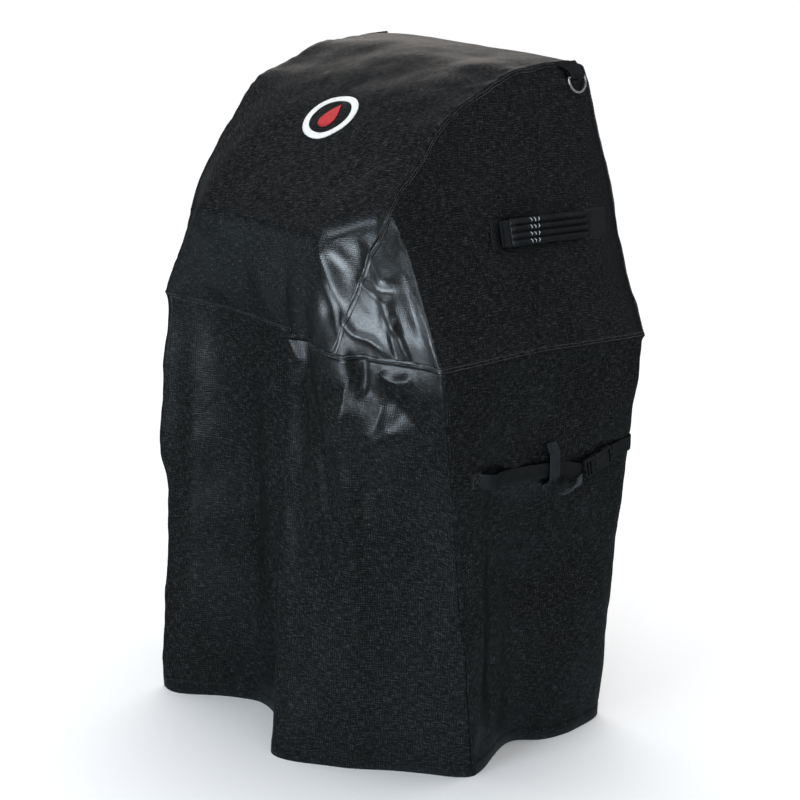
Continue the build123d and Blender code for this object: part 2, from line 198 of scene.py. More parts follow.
# Across the hood from the ridge over the lid and the top and down the back: left seam,
# the ends of the middle part, right seam.
hood_line = [
    ((-192, -252, 928), (-140, -276, 941), (140, -276, 941), (245, -230, 976)),
    ((-196, -232, 965), (-140, -264, 966), (139, -263, 966), (243, -214, 1000)),
    ((-196, -200, 1012), (-138, -228, 1001), (137, -226, 1001), (240, -197, 1021)),
    ((-208, -152, 1055), (-136, -152, 1062), (134, -152, 1063), (side_x(1057), -150, 1057)),
    ((-228, -100, 1096), (-134, -96, 1102), (130, -96, 1102), (side_x(1097), -100, 1097)),
    ((-246, -44, 1124), (-132, -40, 1131), (128, -40, 1131), (side_x(1124), -44, 1124)),
    ((-244, 13, 1142), (-130, 18, 1152), (126, 18, 1152), (side_x(1142), 13, 1142)),
    ((-242, 52, 1155), (-129, 54, 1162), (125, 54, 1162), (side_x(1154), 52, 1154)),
    ((-240, 84, 1163), (-128, 84, 1169), (124, 82, 1168), (side_x(1162), 82, 1162)),
    ((-238, 150, 1167), (-126, 150, 1171), (122, 150, 1170), (side_x(1166), 150, 1166)),
    ((-233, 220, 1167), (-124, 218, 1170), (120, 218, 1170), (side_x(1166), 218, 1166)),
    ((-232, 250, 1160), (-124, 250, 1162), (120, 250, 1161), (side_x(1159), 248, 1159)),
    ((-side_x(1136, -1), 264, 1136), (-126, 264, 1138), (122, 264, 1138), (side_x(1138), 262, 1138)),
    ((-side_x(1000, -1), 265, 1000), (-140, 268, 1000), (138, 268, 1000), (side_x(1000), 264, 1000)),
    ((-side_x(860, -1), 265, 860), (-165, 267, 860), (163, 267, 860), (side_x(860), 265, 860)),
    ((-345, 265, 719), (-190, 266, 719), (190, 266, 719), (346, 265, 719)),
]
SHOULDER = hood_line[0][3]
LEFT_SHOULDER = hood_line[0][0]
LEFT_COLUMNS, MIDDLE_COLUMNS, RIGHT_COLUMNS = 14, 56, 26


def hood_net():
    """Control rows across the middle panel, from the waist in front to the waist behind."""
    left = np.linspace(0, 1, LEFT_COLUMNS, endpoint=False)[:, None]
    middle = np.linspace(0, 1, MIDDLE_COLUMNS, endpoint=False)[:, None]
    right = np.linspace(0, 1, RIGHT_COLUMNS)[:, None]
    rows = []
    for points in hood_line:
        seam_l, end_l, end_r, seam_r = (np.array(p, float) for p in points)
        turn_l, turn_r = np.repeat(fade(left), 3, 1), np.repeat(fade(right), 3, 1)
        turn_l[:, 0], turn_r[:, 0] = left[:, 0], right[:, 0]
        rows.append([*mix(seam_l, end_l, turn_l), *mix(end_l, end_r, middle), *mix(end_r, seam_r, turn_r)])
    ridge = np.array(rows[0])
    front = waists["front"]
    corner = front[0]
    waist_middle = at(front, middle[:, 0] * lobe_at)
    waist_right = at(front, mix(lobe_at, foot_at, right[:, 0]))
    waist = np.vstack([np.repeat(corner[None], LEFT_COLUMNS, 0), waist_middle, waist_right])
    lower = [mix(waist, ridge, share) for share in (0, 0.25, 0.5, 0.75, 0.94)]
    return np.array([*lower, *rows])


hood_fine = spline(hood_net(), 1200)
hood_seams = {-1: hood_fine[:, 0], 1: hood_fine[:, -1]}


def hood_middle_grid():
    """Even rows of points across the middle panel."""
    middle = lengths(hood_fine[:, LEFT_COLUMNS + MIDDLE_COLUMNS // 2])
    count = int(middle[-1] / GRID)
    pick = np.interp(np.linspace(0, middle[-1], count), middle, np.arange(len(middle)))
    low = np.minimum(pick.astype(int), len(hood_fine) - 2)
    return mix(hood_fine[low], hood_fine[low + 1], (pick - low)[:, None, None])


def hood_side_grid(side):
    """Rows from the waist up to the seam, on one side.

    Straight threads join the waist to the seam between the places that are paired here.
    """
    seam = hood_seams[side]
    if side > 0:
        front = waists["front"]
        start = np.searchsorted(lengths(front), foot_at)
        waist = np.vstack([front[start:], waists["right"][1:]])
        pairs = [(waist[0], waist[0]), (right_line[0][0], SHOULDER), (right_line[1][0], (236, -150, 1057))]
    else:
        waist = waists["left"][::-1]
        pairs = [
            (waist[0], seam[0]),
            ((-338, -185, 743), LEFT_SHOULDER),
            ((-338, -165, 744), (-196, -200, 1012)),
            ((-338, -90, 743), (-228, -100, 1096)),
            ((-339, -35, 741), (-246, -44, 1124)),
        ]
    corner = (side * 346, 265, 719)
    pairs += [((side * 341, 85, 733), (side * 205, 60, 1150)), (corner, corner)]
    on_waist = [place_on(waist, p) for p, _ in pairs]
    on_seam = [place_on(seam, q) for _, q in pairs]
    columns = int(lengths(seam)[-1] / GRID)
    along = np.linspace(0, on_waist[-1] + on_seam[-1], columns)
    total = np.add(on_waist, on_seam)
    low = at(waist, np.interp(along, total, on_waist))
    high = at(seam, np.interp(along, total, on_seam))
    v = np.linspace(0, 1, int(420 / GRID))[:, None, None]
    return mix(low, high, v)


def skirt_grid(line):
    """Rows from the hem up to the waist."""
    waist = spline([w for w, _ in line], 900)
    hem = spline([(*h, 0) for _, h in line], 900)
    longer = lengths(hem) + lengths(waist)
    pick = np.interp(np.linspace(0, longer[-1], int(longer[-1] / 2 / GRID)), longer, np.arange(900))
    waist, hem = (np.stack([np.interp(pick, np.arange(900), line[:, k]) for k in range(3)], -1)
                  for line in (waist, hem))
    v = np.linspace(0, 1, int(WAIST_Z / GRID))[:, None, None]
    return mix(hem, waist, v)


ROUNDS = 22  # rounds of softening, which give a crease a radius of about a finger's width
SKIRT_ROUNDS = 5


def softened(grid):
    """The grid with its creases rounded, and its sewn edges as they were."""
    grid = grid.copy()
    for _ in range(ROUNDS):
        beside = grid[:-2, 1:-1] + grid[2:, 1:-1] + grid[1:-1, :-2] + grid[1:-1, 2:]
        grid[1:-1, 1:-1] = grid[1:-1, 1:-1] / 2 + beside / 8
    return grid


def skirt_grids():
    """The four skirt panels, with the corners between them rounded below the waist."""
    grids = [skirt_grid(line) for line in (front_line, right_line, back_line, left_line)]
    loop = np.concatenate([grid[:, :-1] for grid in grids], axis=1)
    for _ in range(SKIRT_ROUNDS):
        loop[:-1] = (loop / 2 + (np.roll(loop, 1, 1) + np.roll(loop, -1, 1)) / 4)[:-1]
        loop[1:-1] = loop[1:-1] / 2 + (loop[:-2] + loop[2:]) / 4
    loop = np.concatenate([loop, loop[:, :1]], axis=1)
    stops = np.cumsum([0] + [grid.shape[1] - 1 for grid in grids])
    return [loop[:, a:b + 1] for a, b in zip(stops, stops[1:])]


# --- drape ---
def outward(p):
    """Direction in which the cloth is pushed in or out at each point, the same for all panels."""
    x, y, z = p[..., 0] / 345, p[..., 1] / 245, np.maximum(0, p[..., 2] - WAIST_Z) / 436
    d = np.stack([np.sign(x) * abs(x) ** 3 / 345, np.sign(y) * abs(y) ** 3 / 245, z**3 / 436], -1)
    return d / np.maximum(np.linalg.norm(d, axis=-1, keepdims=True), 1e-9)


def wave_set(sizes, level=False):
    """Waves in random directions from (wavelength, height, count); level ones run round the cover."""
    made = []
    for wavelength, height, count in sizes:
        for _ in range(count):
            way = rng.normal(size=3) * (1, 1, 0.12 if level else 1)
            way *= 2 * math.pi / (wavelength * rng.uniform(0.75, 1.35) * np.linalg.norm(way))
            made.append((way, rng.uniform(0, 2 * math.pi), height / math.sqrt(count)))
    return made


slack_waves = wave_set([(270, 2.2, 7), (130, 1.2, 9), (62, 0.55, 10), (34, 0.2, 10)])
gather_waves = wave_set([(34, 0.75, 6), (20, 0.5, 8)], level=True)


def wave_sum(waves, p):
    return sum(height * np.sin(p @ way + phase) for way, phase, height in waves)


# Folds and tension lines of the cloth as it hangs: a few points along each, its half
# width and its height; a negative height is a valley. All fade out at both ends.
FOLDS = [
    # front, under the ridge's right end: the two ridges of a cone, and the valleys beside them
    ([(136, -278, 945), (146, -252, 880), (160, -232, 810)], 13, 9),
    ([(155, -270, 938), (190, -240, 878), (232, -212, 842)], 9, 6),
    ([(112, -262, 915), (116, -240, 850), (118, -232, 780)], 13, -5),
    ([(126, -262, 890), (134, -236, 830), (138, -226, 765)], 8, 5),
    ([(172, -250, 880), (190, -232, 845), (202, -222, 815)], 7, -3),
    ([(208, -246, 955), (224, -228, 905), (244, -214, 862)], 17, 9),
    # arch and pockets at the foot of the hood seam
    ([(146, -230, 830), (163, -222, 782), (195, -213, 772), (230, -203, 745)], 8, 7),
    ([(228, -214, 865), (240, -208, 785)], 13, 9),
    ([(210, -212, 842), (204, -206, 805), (199, -202, 778)], 10, -2),
    ([(238, -209, 828), (250, -201, 780), (263, -193, 740)], 7, 5.5),
    ([(222, -210, 835), (230, -202, 775), (236, -196, 738)], 4, -4),
    ([(196, -197, 724), (228, -193, 710), (268, -189, 722)], 10, 8),
    ([(168, -203, 748), (167, -202, 700), (168, -200, 668)], 6, -7),
    ([(104, -215, 668), (134, -206, 634), (160, -202, 648),
      (186, -199, 606), (216, -192, 622), (256, -182, 662)], 34, 22),
    ([(138, -222, 712), (170, -205, 672), (192, -195, 620), (196, -193, 540)], 12, 3.5),
    ([(236, -192, 700), (222, -193, 650), (226, -192, 600)], 12, -3),
    ([(120, -215, 560), (150, -205, 500), (170, -195, 420)], 22, 3),
    # crumple where the shoulder ends
    ([(244, -205, 1036), (252, -205, 1008), (266, -200, 988)], 8, 5),
    ([(228, -222, 1005), (236, -222, 960), (240, -218, 925)], 6, 3.5),
    # the main fold's edge, from the ridge to the hem, and the pleat beside it
    ([(72, -272, 935), (32, -242, 879), (-18, -202, 795), (-48, -176, 733),
      (-34, -200, 520), (-22, -228, 250), (-11, -252, -60)], 5, -6),
    ([(-10, -204, 745), (-2, -203, 722), (20, -197, 690)], 9, 5),
    ([(40, -222, 815), (40, -200, 730), (72, -216, 640), (98, -226, 540), (120, -224, 420)], 17, -8),
    # front on the left of the main fold
    ([(-140, -266, 915), (-178, -218, 825), (-222, -178, 745)], 20, 5),
    ([(-85, -262, 915), (-105, -228, 850), (-128, -185, 765)], 20, -5),
    ([(-30, -255, 900), (-60, -215, 820), (-84, -178, 750)], 14, 2.5),
    ([(-272, -182, 715), (-264, -194, 420), (-256, -205, 60)], 24, 10),
    ([(-320, -195, 740), (-314, -206, 420), (-300, -225, 40)], 18, -6),
    ([(-182, -164, 700), (-170, -162, 500), (-166, -160, 160)], 36, -6),
    ([(-110, -172, 735), (-112, -170, 500), (-118, -164, 120)], 22, 3),
    # from the right shoulder to the corner of the waist, and on down the skirt
    ([(236, -218, 1020), (262, -208, 955), (297, -200, 862), (337, -194, 740)], 10, 11),
    ([(250, -214, 975), (276, -207, 880), (304, -199, 770)], 19, -9),
    ([(338, -190, 735), (300, -182, 680), (262, -175, 600)], 13, 4.5),
    ([(330, -172, 700), (316, -150, 600), (300, -130, 480)], 26, -3),
    # pushed in under the grips, which swing towards the cloth
    ([(280, -60, 925), (281, 20, 922), (282, 110, 918), (283, 220, 912)], 34, -3.5),
    ([(-295, -60, 925), (-296, 20, 922), (-297, 110, 918), (-298, 220, 912)], 34, -6),
    # corners that stand out a little further
    ([(-345, -212, 700), (-345, -218, 610), (-342, -222, 500), (-338, -226, 380)], 34, 12),
    ([(340, 262, 830), (346, 266, 722), (342, 268, 640), (338, 268, 590)], 34, 8),
    # right side of the hood
    ([(250, -92, 1018), (275, -83, 945), (296, -72, 872)], 10, 2.5),
    ([(214, 143, 1128), (242, 114, 1038), (270, 88, 960)], 5, 1.6),
    ([(292, 62, 891), (310, 42, 830), (330, 24, 762)], 7, 2.4),
    ([(211, 153, 1135), (217, 123, 1118), (222, 99, 1102)], 5, 1.4),
    ([(296, 205, 888), (301, 165, 868), (306, 120, 850)], 8, -3),
    ([(292, 232, 905), (305, 190, 850), (322, 150, 790)], 9, 2.2),
    # right side of the skirt
    ([(334, -72, 690), (318, -55, 503), (299, -33, 279), (280, -6, 20)], 16, -5),
    ([(330, -120, 700), (312, -92, 460), (296, -66, 240), (298, -64, 20)], 18, 4),
    ([(336, 30, 700), (318, 40, 470), (286, 60, 200)], 30, -4),
    ([(342, 150, 690), (326, 160, 430), (306, 175, 120)], 26, 3.5),
    ([(318, -60, 545), (314, -10, 538), (314, 30, 533), (320, 70, 530), (332, 130, 525)], 42, 8.5),
    ([(338, 100, 508), (338, 150, 514), (338, 200, 524), (338, 245, 528)], 24, -4.5),
    # lid
    ([(-112, -17, 1138), (-87, -58, 1121)], 5, 1.6),
    ([(80, -262, 955), (98, -225, 1002), (112, -165, 1052)], 11, 3.6),
    ([(135, -262, 962), (165, -215, 1012), (190, -160, 1052)], 11, 4.2),
    ([(-150, -235, 985), (-120, -160, 1058), (-60, -80, 1112)], 30, 2),
    # back and left
    ([(-90, 268, 1080), (-130, 268, 900), (-200, 267, 730)], 26, 4),
    ([(120, 268, 1100), (150, 268, 930), (230, 267, 730)], 24, 3.5),
    ([(-20, 267, 700), (0, 268, 400), (20, 272, 60)], 34, 5),
    ([(200, 266, 690), (190, 266, 380), (180, 266, 80)], 30, -4),
    ([(-180, 266, 690), (-190, 266, 380), (-190, 266, 80)], 30, -4),
    ([(-252, -60, 1060), (-285, -90, 900), (-330, -110, 760)], 18, 4),
    ([(-246, 60, 1120), (-280, 90, 960), (-334, 130, 745)], 14, 2.5),
    ([(-334, -150, 700), (-318, -90, 400), (-300, -60, 60)], 26, 5),
    ([(-336, 20, 700), (-310, 30, 420), (-280, 50, 100)], 30, -4),
]
GATHERS, GATHER_START, GATHER_PITCH = 11, -66, 17


def eased_gathers():
    """Little gathers where the right side was eased into the waist seam."""
    made = []
    for i in range(GATHERS):
        y = GATHER_START + GATHER_PITCH * i + rng.uniform(-4, 4)
        tall = rng.uniform(24, 62)
        z = 743 - 0.05 * (y + 90)
        line = [(340, y, z), (340 - 0.32 * tall, y - 4, z + tall)]
        made.append((line, rng.uniform(3.2, 4.6), rng.uniform(1.2, 2.4)))
    return made


FOLDS += eased_gathers()


def fold_height(p):
    """Sum of the folds' heights at each point."""
    flat = p.reshape(-1, 3)
    total = np.zeros(len(flat))
    for points, width, height in FOLDS:
        line = even(spline(points, 60), 16)
        near = np.all((flat > line.min(0) - 3 * width) & (flat < line.max(0) + 3 * width), axis=1)
        q = flat[near]
        if not len(q):
            continue
        start, run = line[:-1], np.diff(line, axis=0)
        share = np.clip(((q[:, None] - start) * run).sum(-1) / (run * run).sum(-1), 0, 1)
        gap = np.linalg.norm(q[:, None] - start - share[..., None] * run, axis=-1)
        nearest = gap.argmin(1)
        row = np.arange(len(q))
        along = (nearest + share[row, nearest]) / len(start)
        ends = fade(along / 0.25) * fade((1 - along) / 0.25)
        total[near] += height * np.exp(-((gap[row, nearest] / width) ** 2)) * ends
    return total.reshape(p.shape[:-1])


def edge_distance(grid, edges):
    """Distance of each point from the nearest of the named sewn edges."""
    down = np.linalg.norm(np.diff(grid, axis=0), axis=2)
    over = np.linalg.norm(np.diff(grid, axis=1), axis=2)
    rows, columns = grid.shape[:2]
    zero_row, zero_column = np.zeros((1, columns)), np.zeros((rows, 1))
    found = {
        "low": np.vstack([zero_row, np.cumsum(down, 0)]),
        "high": np.vstack([np.cumsum(down[::-1], 0)[::-1], zero_row]),
        "left": np.hstack([zero_column, np.cumsum(over, 1)]),
        "right": np.hstack([np.cumsum(over[:, ::-1], 1)[:, ::-1], zero_column]),
    }
    return np.min([found[edge] for edge in edges], axis=0)


def draped(grid, edges):
    """The panel with its slack, its folds and the gathers along its seams."""
    gathers = wave_sum(gather_waves, grid) * np.exp(-edge_distance(grid, edges) / 16)
    return grid + outward(grid) * (wave_sum(slack_waves, grid) + fold_height(grid) + gathers)[..., None]


# --- meshes ---
def add_object(name, data):
    """New object in the scene."""
    obj = bpy.data.objects.new(name, data)
    bpy.context.scene.collection.objects.link(obj)
    return obj


def mesh_object(name, points, faces, uv=None):
    """Object from points in millimetres."""
    mesh = bpy.data.meshes.new(name)
    mesh.from_pydata((np.asarray(points) * MM).tolist(), [], faces)
    if uv is not None:
        layer = mesh.uv_layers.new(name="UVMap")
        loops = np.zeros(len(mesh.loops), np.int32)
        mesh.loops.foreach_get("vertex_index", loops)
        layer.data.foreach_set("uv", (np.asarray(uv)[loops] * MM).astype(np.float32).ravel())
    mesh.update()
    mesh.shade_smooth()
    return add_object(name, mesh)


def grid_faces(rows, columns, flip=False, closed=False, first=0):
    """Quads of a grid of points, joined round its columns where it is closed."""
    index = first + np.arange(rows * columns).reshape(rows, columns)
    if closed:
        index = np.hstack([index, index[:, :1]])
    quads = np.stack([index[:-1, :-1], index[:-1, 1:], index[1:, 1:], index[1:, :-1]], -1).reshape(-1, 4)
    return (quads[:, ::-1] if flip else quads).tolist()


def tube_faces(rings, count, first=0):
    """Quads of a tube of rings, and a face over each end."""
    last = first + (rings - 1) * count
    ends = [list(range(start, start + count)) for start in (first, last)]
    return grid_faces(rings, count, closed=True, first=first) + ends


def grid_object(name, grid, flip=False):
    """Object from a grid of points, with its texture coordinates in metres along the cloth."""
    rows, columns = grid.shape[:2]
    u = edge_distance(grid, ["left"])
    u -= u[:, columns // 2][:, None]
    v = edge_distance(grid, ["low"])
    uv = np.stack([u, v], -1).reshape(-1, 2)
    return mesh_object(name, grid.reshape(-1, 3), grid_faces(rows, columns, flip), uv)


def outside_up(obj):
    """Turns the faces of a closed piece outward."""
    shape = bmesh.new()
    shape.from_mesh(obj.data)
    bmesh.ops.recalc_face_normals(shape, faces=shape.faces)
    shape.to_mesh(obj.data)
    shape.free()
    return obj


def thicken(obj, thickness, offset=-1.0):
    modifier = obj.modifiers.new("thickness", "SOLIDIFY")
    modifier.thickness = thickness * MM
    modifier.offset = offset
    return obj


def unit(v):
    return v / np.maximum(np.linalg.norm(v, axis=-1, keepdims=True), 1e-9)


def ribbon(name, centre, across, width, thickness, columns=9):
    """Closed strip of webbing along a centre line, with softly rounded edges."""
    centre = np.asarray(centre, float)
    count = len(centre)
    across = unit(np.broadcast_to(np.asarray(across, float), centre.shape))
    width = np.broadcast_to(width, (count,))[:, None, None]
    normal = unit(np.cross(np.gradient(centre, axis=0), across))
    place = np.linspace(-0.5, 0.5, columns)
    half = thickness / 2 * np.sqrt(np.maximum(0, 1 - (2 * abs(place) * 0.985) ** 8))
    place = np.concatenate([place, place[::-1]])[None, :, None]
    half = np.concatenate([half, -half])[None, :, None]
    rings = centre[:, None] + across[:, None] * place * width + normal[:, None] * half
    u = np.repeat(lengths(centre)[:, None], 2 * columns, 1)
    v = np.broadcast_to((place * width)[..., 0], u.shape)
    uv = np.stack([u, v], -1).reshape(-1, 2)
    return outside_up(mesh_object(name, rings.reshape(-1, 3), tube_faces(count, 2 * columns), uv))


def stitches(name, rows, pitch=4.2, length=2.8, radius=0.3):
    """Sewn thread: short arched stitches along rows of (points, normals)."""
    points, faces = [], []
    turn = np.linspace(0, 2 * math.pi, 6, endpoint=False)
    for line, normals in rows:
        s = lengths(line)
        for middle in np.arange(pitch / 2, s[-1] - pitch / 2, pitch):
            ends = at(line, np.array([middle - length / 2, middle, middle + length / 2]))
            up = unit(np.array([np.interp(middle, s, normals[:, k]) for k in range(3)]))
            run = unit(ends[2] - ends[0])
            side = np.cross(run, up)
            first = len(points)
            for spot, size, lift in zip(ends, (0.45, 1, 0.45), (-0.1, 0.25, -0.1)):
                ring = np.cos(turn)[:, None] * side + np.sin(turn)[:, None] * up
                points.extend(spot + up * lift + ring * radius * size)
            faces += tube_faces(3, len(turn), first)
    return outside_up(mesh_object(name, points, faces))


def inset(grid, edge, distance, lift=0.0):
    """The line at a distance in from a panel's edge, raised above the cloth, and its normals."""
    lines = {"low": grid, "high": grid[::-1], "left": grid.transpose(1, 0, 2)}[edge]
    columns = lines.shape[1]
    points = np.array([at(lines[:, j], np.array([distance, distance + 4.0])) for j in range(columns)])
    here, next_in = points[:, 0], points[:, 1]
    normals = unit(np.cross(np.gradient(here, axis=0), next_in - here))
    facing = (normals * outward(here)).sum(-1)
    normals *= np.where(facing < 0, -1, 1)[:, None]
    return here + normals * lift, normals


def seam_band(name, sewn, profile):
    """Folded seam allowance: strips along sewn edges, from (distance in, height) pairs."""
    points, faces, uv = [], [], []
    for grid, edge in sewn:
        rows = np.array([inset(grid, edge, distance, lift)[0] for distance, lift in profile])
        first = len(points)
        points.extend(rows.reshape(-1, 3))
        faces += grid_faces(*rows.shape[:2], first=first)
        u = np.tile(lengths(rows[0]), len(rows))
        v = np.repeat([distance for distance, _ in profile], rows.shape[1])
        uv.extend(np.stack([u, v], -1))
    return mesh_object(name, points, faces, uv)


# --- materials ---
def add_node(tree, kind, inputs, out=0, **settings):
    """New node with its inputs linked or set; gives one of its outputs, if it has any."""
    node = tree.nodes.new("ShaderNode" + kind)
    for name, value in settings.items():
        setattr(node, name, value)
    for socket, value in inputs.items():
        if hasattr(value, "is_linked"):
            tree.links.new(value, node.inputs[socket])
        else:
            node.inputs[socket].default_value = value
    return node.outputs[out] if node.outputs else node


def add_ramp(tree, value, stops):
    """Colour ramp over a value, from (place, colour) stops."""
    output = add_node(tree, "ValToRGB", {0: value})
    elements = output.node.color_ramp.elements
    while len(elements) < len(stops):
        elements.new(0.5)
    for element, (place, colour) in zip(elements, stops):
        element.position = place
        element.color = (*colour, 1)
    return output


class Look:
    """A material's node tree, with short calls for the nodes that the materials here share."""

    def __init__(self, name):
        self.material = bpy.data.materials.new(name)
        self.material.use_nodes = True
        self.tree = self.material.node_tree
        self.tree.nodes.clear()
        surface = add_node(self.tree, "BsdfPrincipled", {})
        self.shader = surface.node
        add_node(self.tree, "OutputMaterial", {0: surface})
        self.height = None

    def coordinates(self, kind, scale):
        source = add_node(self.tree, "TexCoord", {}, kind)
        return add_node(self.tree, "Mapping", {0: source, "Scale": scale})

    def noise(self, kind, scale, detail=2.0, rough=0.5):
        place = self.coordinates(kind, scale)
        inputs = {"Vector": place, "Scale": 1.0, "Detail": detail, "Roughness": rough}
        return add_node(self.tree, "TexNoise", inputs)

    def wave(self, kind, scale, direction="X", distortion=0.0):
        inputs = {"Vector": self.coordinates(kind, scale), "Scale": 1.0, "Distortion": distortion}
        return add_node(self.tree, "TexWave", inputs, 1, bands_direction=direction)

    def math(self, operation, a, b):
        return add_node(self.tree, "Math", {0: a, 1: b}, operation=operation)

    def blend(self, *parts):
        """Sum of (value, share) pairs."""
        shares = [self.math("MULTIPLY", value, share) for value, share in parts]
        total = shares[0]
        for part in shares[1:]:
            total = self.math("ADD", total, part)
        return total

    def spread(self, value, low, high, to_low, to_high):
        """The value's range from low to high, stretched to another."""
        return add_node(self.tree, "MapRange", {0: value, 1: low, 2: high, 3: to_low, 4: to_high})

    def colours(self, value, stops):
        return add_ramp(self.tree, value, stops)

    def bump(self, value, strength, distance):
        inputs = {"Strength": strength, "Distance": distance, "Height": value}
        if self.height is not None:
            inputs["Normal"] = self.height
        self.height = add_node(self.tree, "Bump", inputs)
        self.set(Normal=self.height)

    def set(self, **values):
        for name, value in values.items():
            socket = self.shader.inputs[name.replace("_", " ")]
            if hasattr(value, "is_linked"):
                self.tree.links.new(value, socket)
            else:
                socket.default_value = value


def grey(value, blue=1.0):
    """Dark neutral colour, tinted a little blue or warm."""
    return (value / blue**0.5, value, value * blue**0.5)


def cloth_look():
    """Coated polyester: slubby threads both ways under a semi-gloss coat that has crazed and scuffed."""
    look = Look("coated_cloth")
    weft = look.noise("UV", (70, 620, 1), 1.5, 0.6)
    warp = look.noise("UV", (640, 84, 1), 1.5, 0.6)
    fine = look.noise("UV", (900, 1100, 1), 1.0)
    blotch = look.noise("Object", (6.0, 6.0, 4.0), 4.0, 0.6)
    crinkle = look.noise("Object", (38, 38, 30), 4.0, 0.6)
    weave = look.blend((weft, 0.55), (warp, 0.45))
    contrast = look.spread(weave, 0.38, 0.62, 0.0, 1.0)
    over = look.wave("UV", (78, 78, 1), "X", 0.7)
    along = look.wave("UV", (78, 78, 1), "Y", 0.7)
    threads = look.blend((over, 0.5), (along, 0.5))
    tone = look.blend((contrast, 0.60), (threads, 0.24), (blotch, 0.16))
    stops = [
        (0.24, grey(0.001)), (0.5, grey(0.0042, 1.04)), (0.68, grey(0.0175, 1.08)), (0.88, grey(0.046, 1.1))
    ]
    look.set(Base_Color=look.colours(tone, stops))
    worn = look.spread(blotch, 0.35, 0.65, 0.29, 0.39)
    raised = look.spread(contrast, 0, 1, 0.06, -0.04)
    look.set(Roughness=look.math("ADD", worn, raised), Specular_IOR_Level=0.45)
    look.bump(crinkle, 0.30, 0.0022)
    look.bump(look.blend((weave, 1.0), (threads, 0.35)), 0.7, 0.0006)
    look.bump(fine, 0.15, 0.0003)
    return look.material


def webbing_look(name, tone, rough):
    """Woven tape: fine ribs across it, uneven threads along it, and a little fuzz."""
    look = Look(name)
    rib = look.wave("UV", (145, 1, 1), "X", 1.2)
    lengthwise = look.noise("UV", (120, 900, 1), 2.0, 0.6)
    fuzz = look.noise("Object", (60, 60, 60), 3.0, 0.6)
    weave = look.blend((rib, 0.5), (lengthwise, 0.5))
    mixed = look.blend((weave, 0.7), (fuzz, 0.3))
    look.set(Base_Color=look.colours(mixed, [(0.3, grey(tone * 0.35, 1.2)), (0.7, grey(tone * 1.5, 1.25))]))
    look.set(Roughness=look.spread(weave, 0.3, 0.7, rough + 0.08, rough - 0.08), Specular_IOR_Level=0.35)
    look.bump(weave, 0.6, 0.0007)
    look.bump(fuzz, 0.2, 0.001)
    return look.material


def thread_look(name, tone):
    look = Look(name)
    ply = look.noise("Object", (900, 900, 900), 2.0)
    wear = look.noise("Object", (22, 22, 22), 3.0)
    look.set(Base_Color=look.colours(wear, [(0.35, grey(tone * 0.5, 1.1)), (0.65, grey(tone, 1.12))]))
    look.set(Roughness=look.spread(ply, 0.3, 0.7, 0.5, 0.7))
    look.bump(ply, 0.4, 0.0002)
    return look.material


def ring_look():
    """Nickel plate with handling marks; its colour is paler than nickel and partly diffuse, partly the metal's own
    colour and partly a painted sheen in place of bright reflections.
    """
    look = Look("nickel_plate_painted_sheen")
    marks = look.noise("Object", (90, 400, 90), 4.0, 0.65)
    dull = look.noise("Object", (45, 45, 45), 3.0)
    # pale colour on a part-diffuse metal: the nickel's own colour, made lighter as a painted sheen
    look.set(Base_Color=look.colours(dull, [(0.3, (0.66, 0.64, 0.59)), (0.7, (0.88, 0.87, 0.82))]))
    look.set(Metallic=0.8, Roughness=look.spread(dull, 0.3, 0.7, 0.14, 0.32))
    look.bump(marks, 0.08, 0.0003)
    return look.material


def buckle_look():
    """Moulded acetal with a fine spark texture, scuffed on its faces."""
    look = Look("moulded_plastic")
    spark = look.noise("Object", (700, 700, 700), 2.0)
    scuff = look.noise("Object", (110, 160, 110), 4.0, 0.7)
    look.set(Base_Color=look.colours(scuff, [(0.4, grey(0.008, 1.1)), (0.75, grey(0.022, 1.1))]))
    look.set(Roughness=look.spread(scuff, 0.35, 0.7, 0.24, 0.38), Specular_IOR_Level=0.5)
    look.bump(spark, 0.1, 0.0001)
    return look.material


def print_look(name, pale, worn):
    """Heat-pressed print that lets the weave through."""
    look = Look(name)
    weft = look.noise("UV", (60, 420, 1), 2.0)
    warp = look.noise("UV", (420, 60, 1), 2.0)
    rubbed = look.noise("Object", (60, 60, 60), 4.0, 0.7)
    weave = look.blend((weft, 0.5), (warp, 0.5))
    mixed = look.blend((weave, 0.5), (rubbed, 0.5))
    look.set(Base_Color=look.colours(mixed, [(0.34, worn), (0.5, pale)]))
    look.set(Roughness=look.spread(rubbed, 0.3, 0.7, 0.4, 0.55), Specular_IOR_Level=0.4)
    look.bump(weave, 0.35, 0.0006)
    return look.material


CLOTH_LOOK = cloth_look()
WEBBING_LOOK = webbing_look("webbing", 0.013, 0.48)
# keeper: the strap's webbing painted about twice as light, a painted sheen where the upright loop catches the
# light
KEEPER_SHEEN_LOOK = webbing_look("keeper_tape_painted_sheen", 0.026, 0.42)
# back handle patch: the same webbing as the front patch painted lighter, a painted sheen
BACK_PATCH_SHEEN_LOOK = webbing_look("patch_tape_painted_sheen", 0.018, 0.46)
# strap's free end: the same webbing painted about five times as light, a painted highlight where the curled tail
# catches the light
TAIL_HIGHLIGHT_LOOK = webbing_look("tail_tape_painted_highlight", 0.07, 0.42)
THREAD_LOOK = thread_look("grey_thread", 0.17)
LIGHT_THREAD_LOOK = thread_look("light_thread", 0.62)
DARK_THREAD_LOOK = thread_look("dark_thread", 0.02)
RING_SHEEN_LOOK = ring_look()
BUCKLE_LOOK = buckle_look()
WHITE_LOOK = print_look("white_print", (0.84, 0.84, 0.82), (0.55, 0.55, 0.54))
RED_LOOK = print_look("red_print", (0.52, 0.035, 0.04), (0.30, 0.02, 0.025))


def finish_piece(obj, look, body, slot, *nodes):
    """Gives a piece its material and body, and hides the CAD nodes that it stands for; the slot is not used."""
    obj.data.materials.append(look)
    if body:
        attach(obj, body)
    if nodes:
        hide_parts(*nodes)
    return obj


def coat_node(name, look):
    """Gives a CAD node that is shown as it is its material."""
    for holder in frame["nodes"][name].material_slots:
        holder.material = look


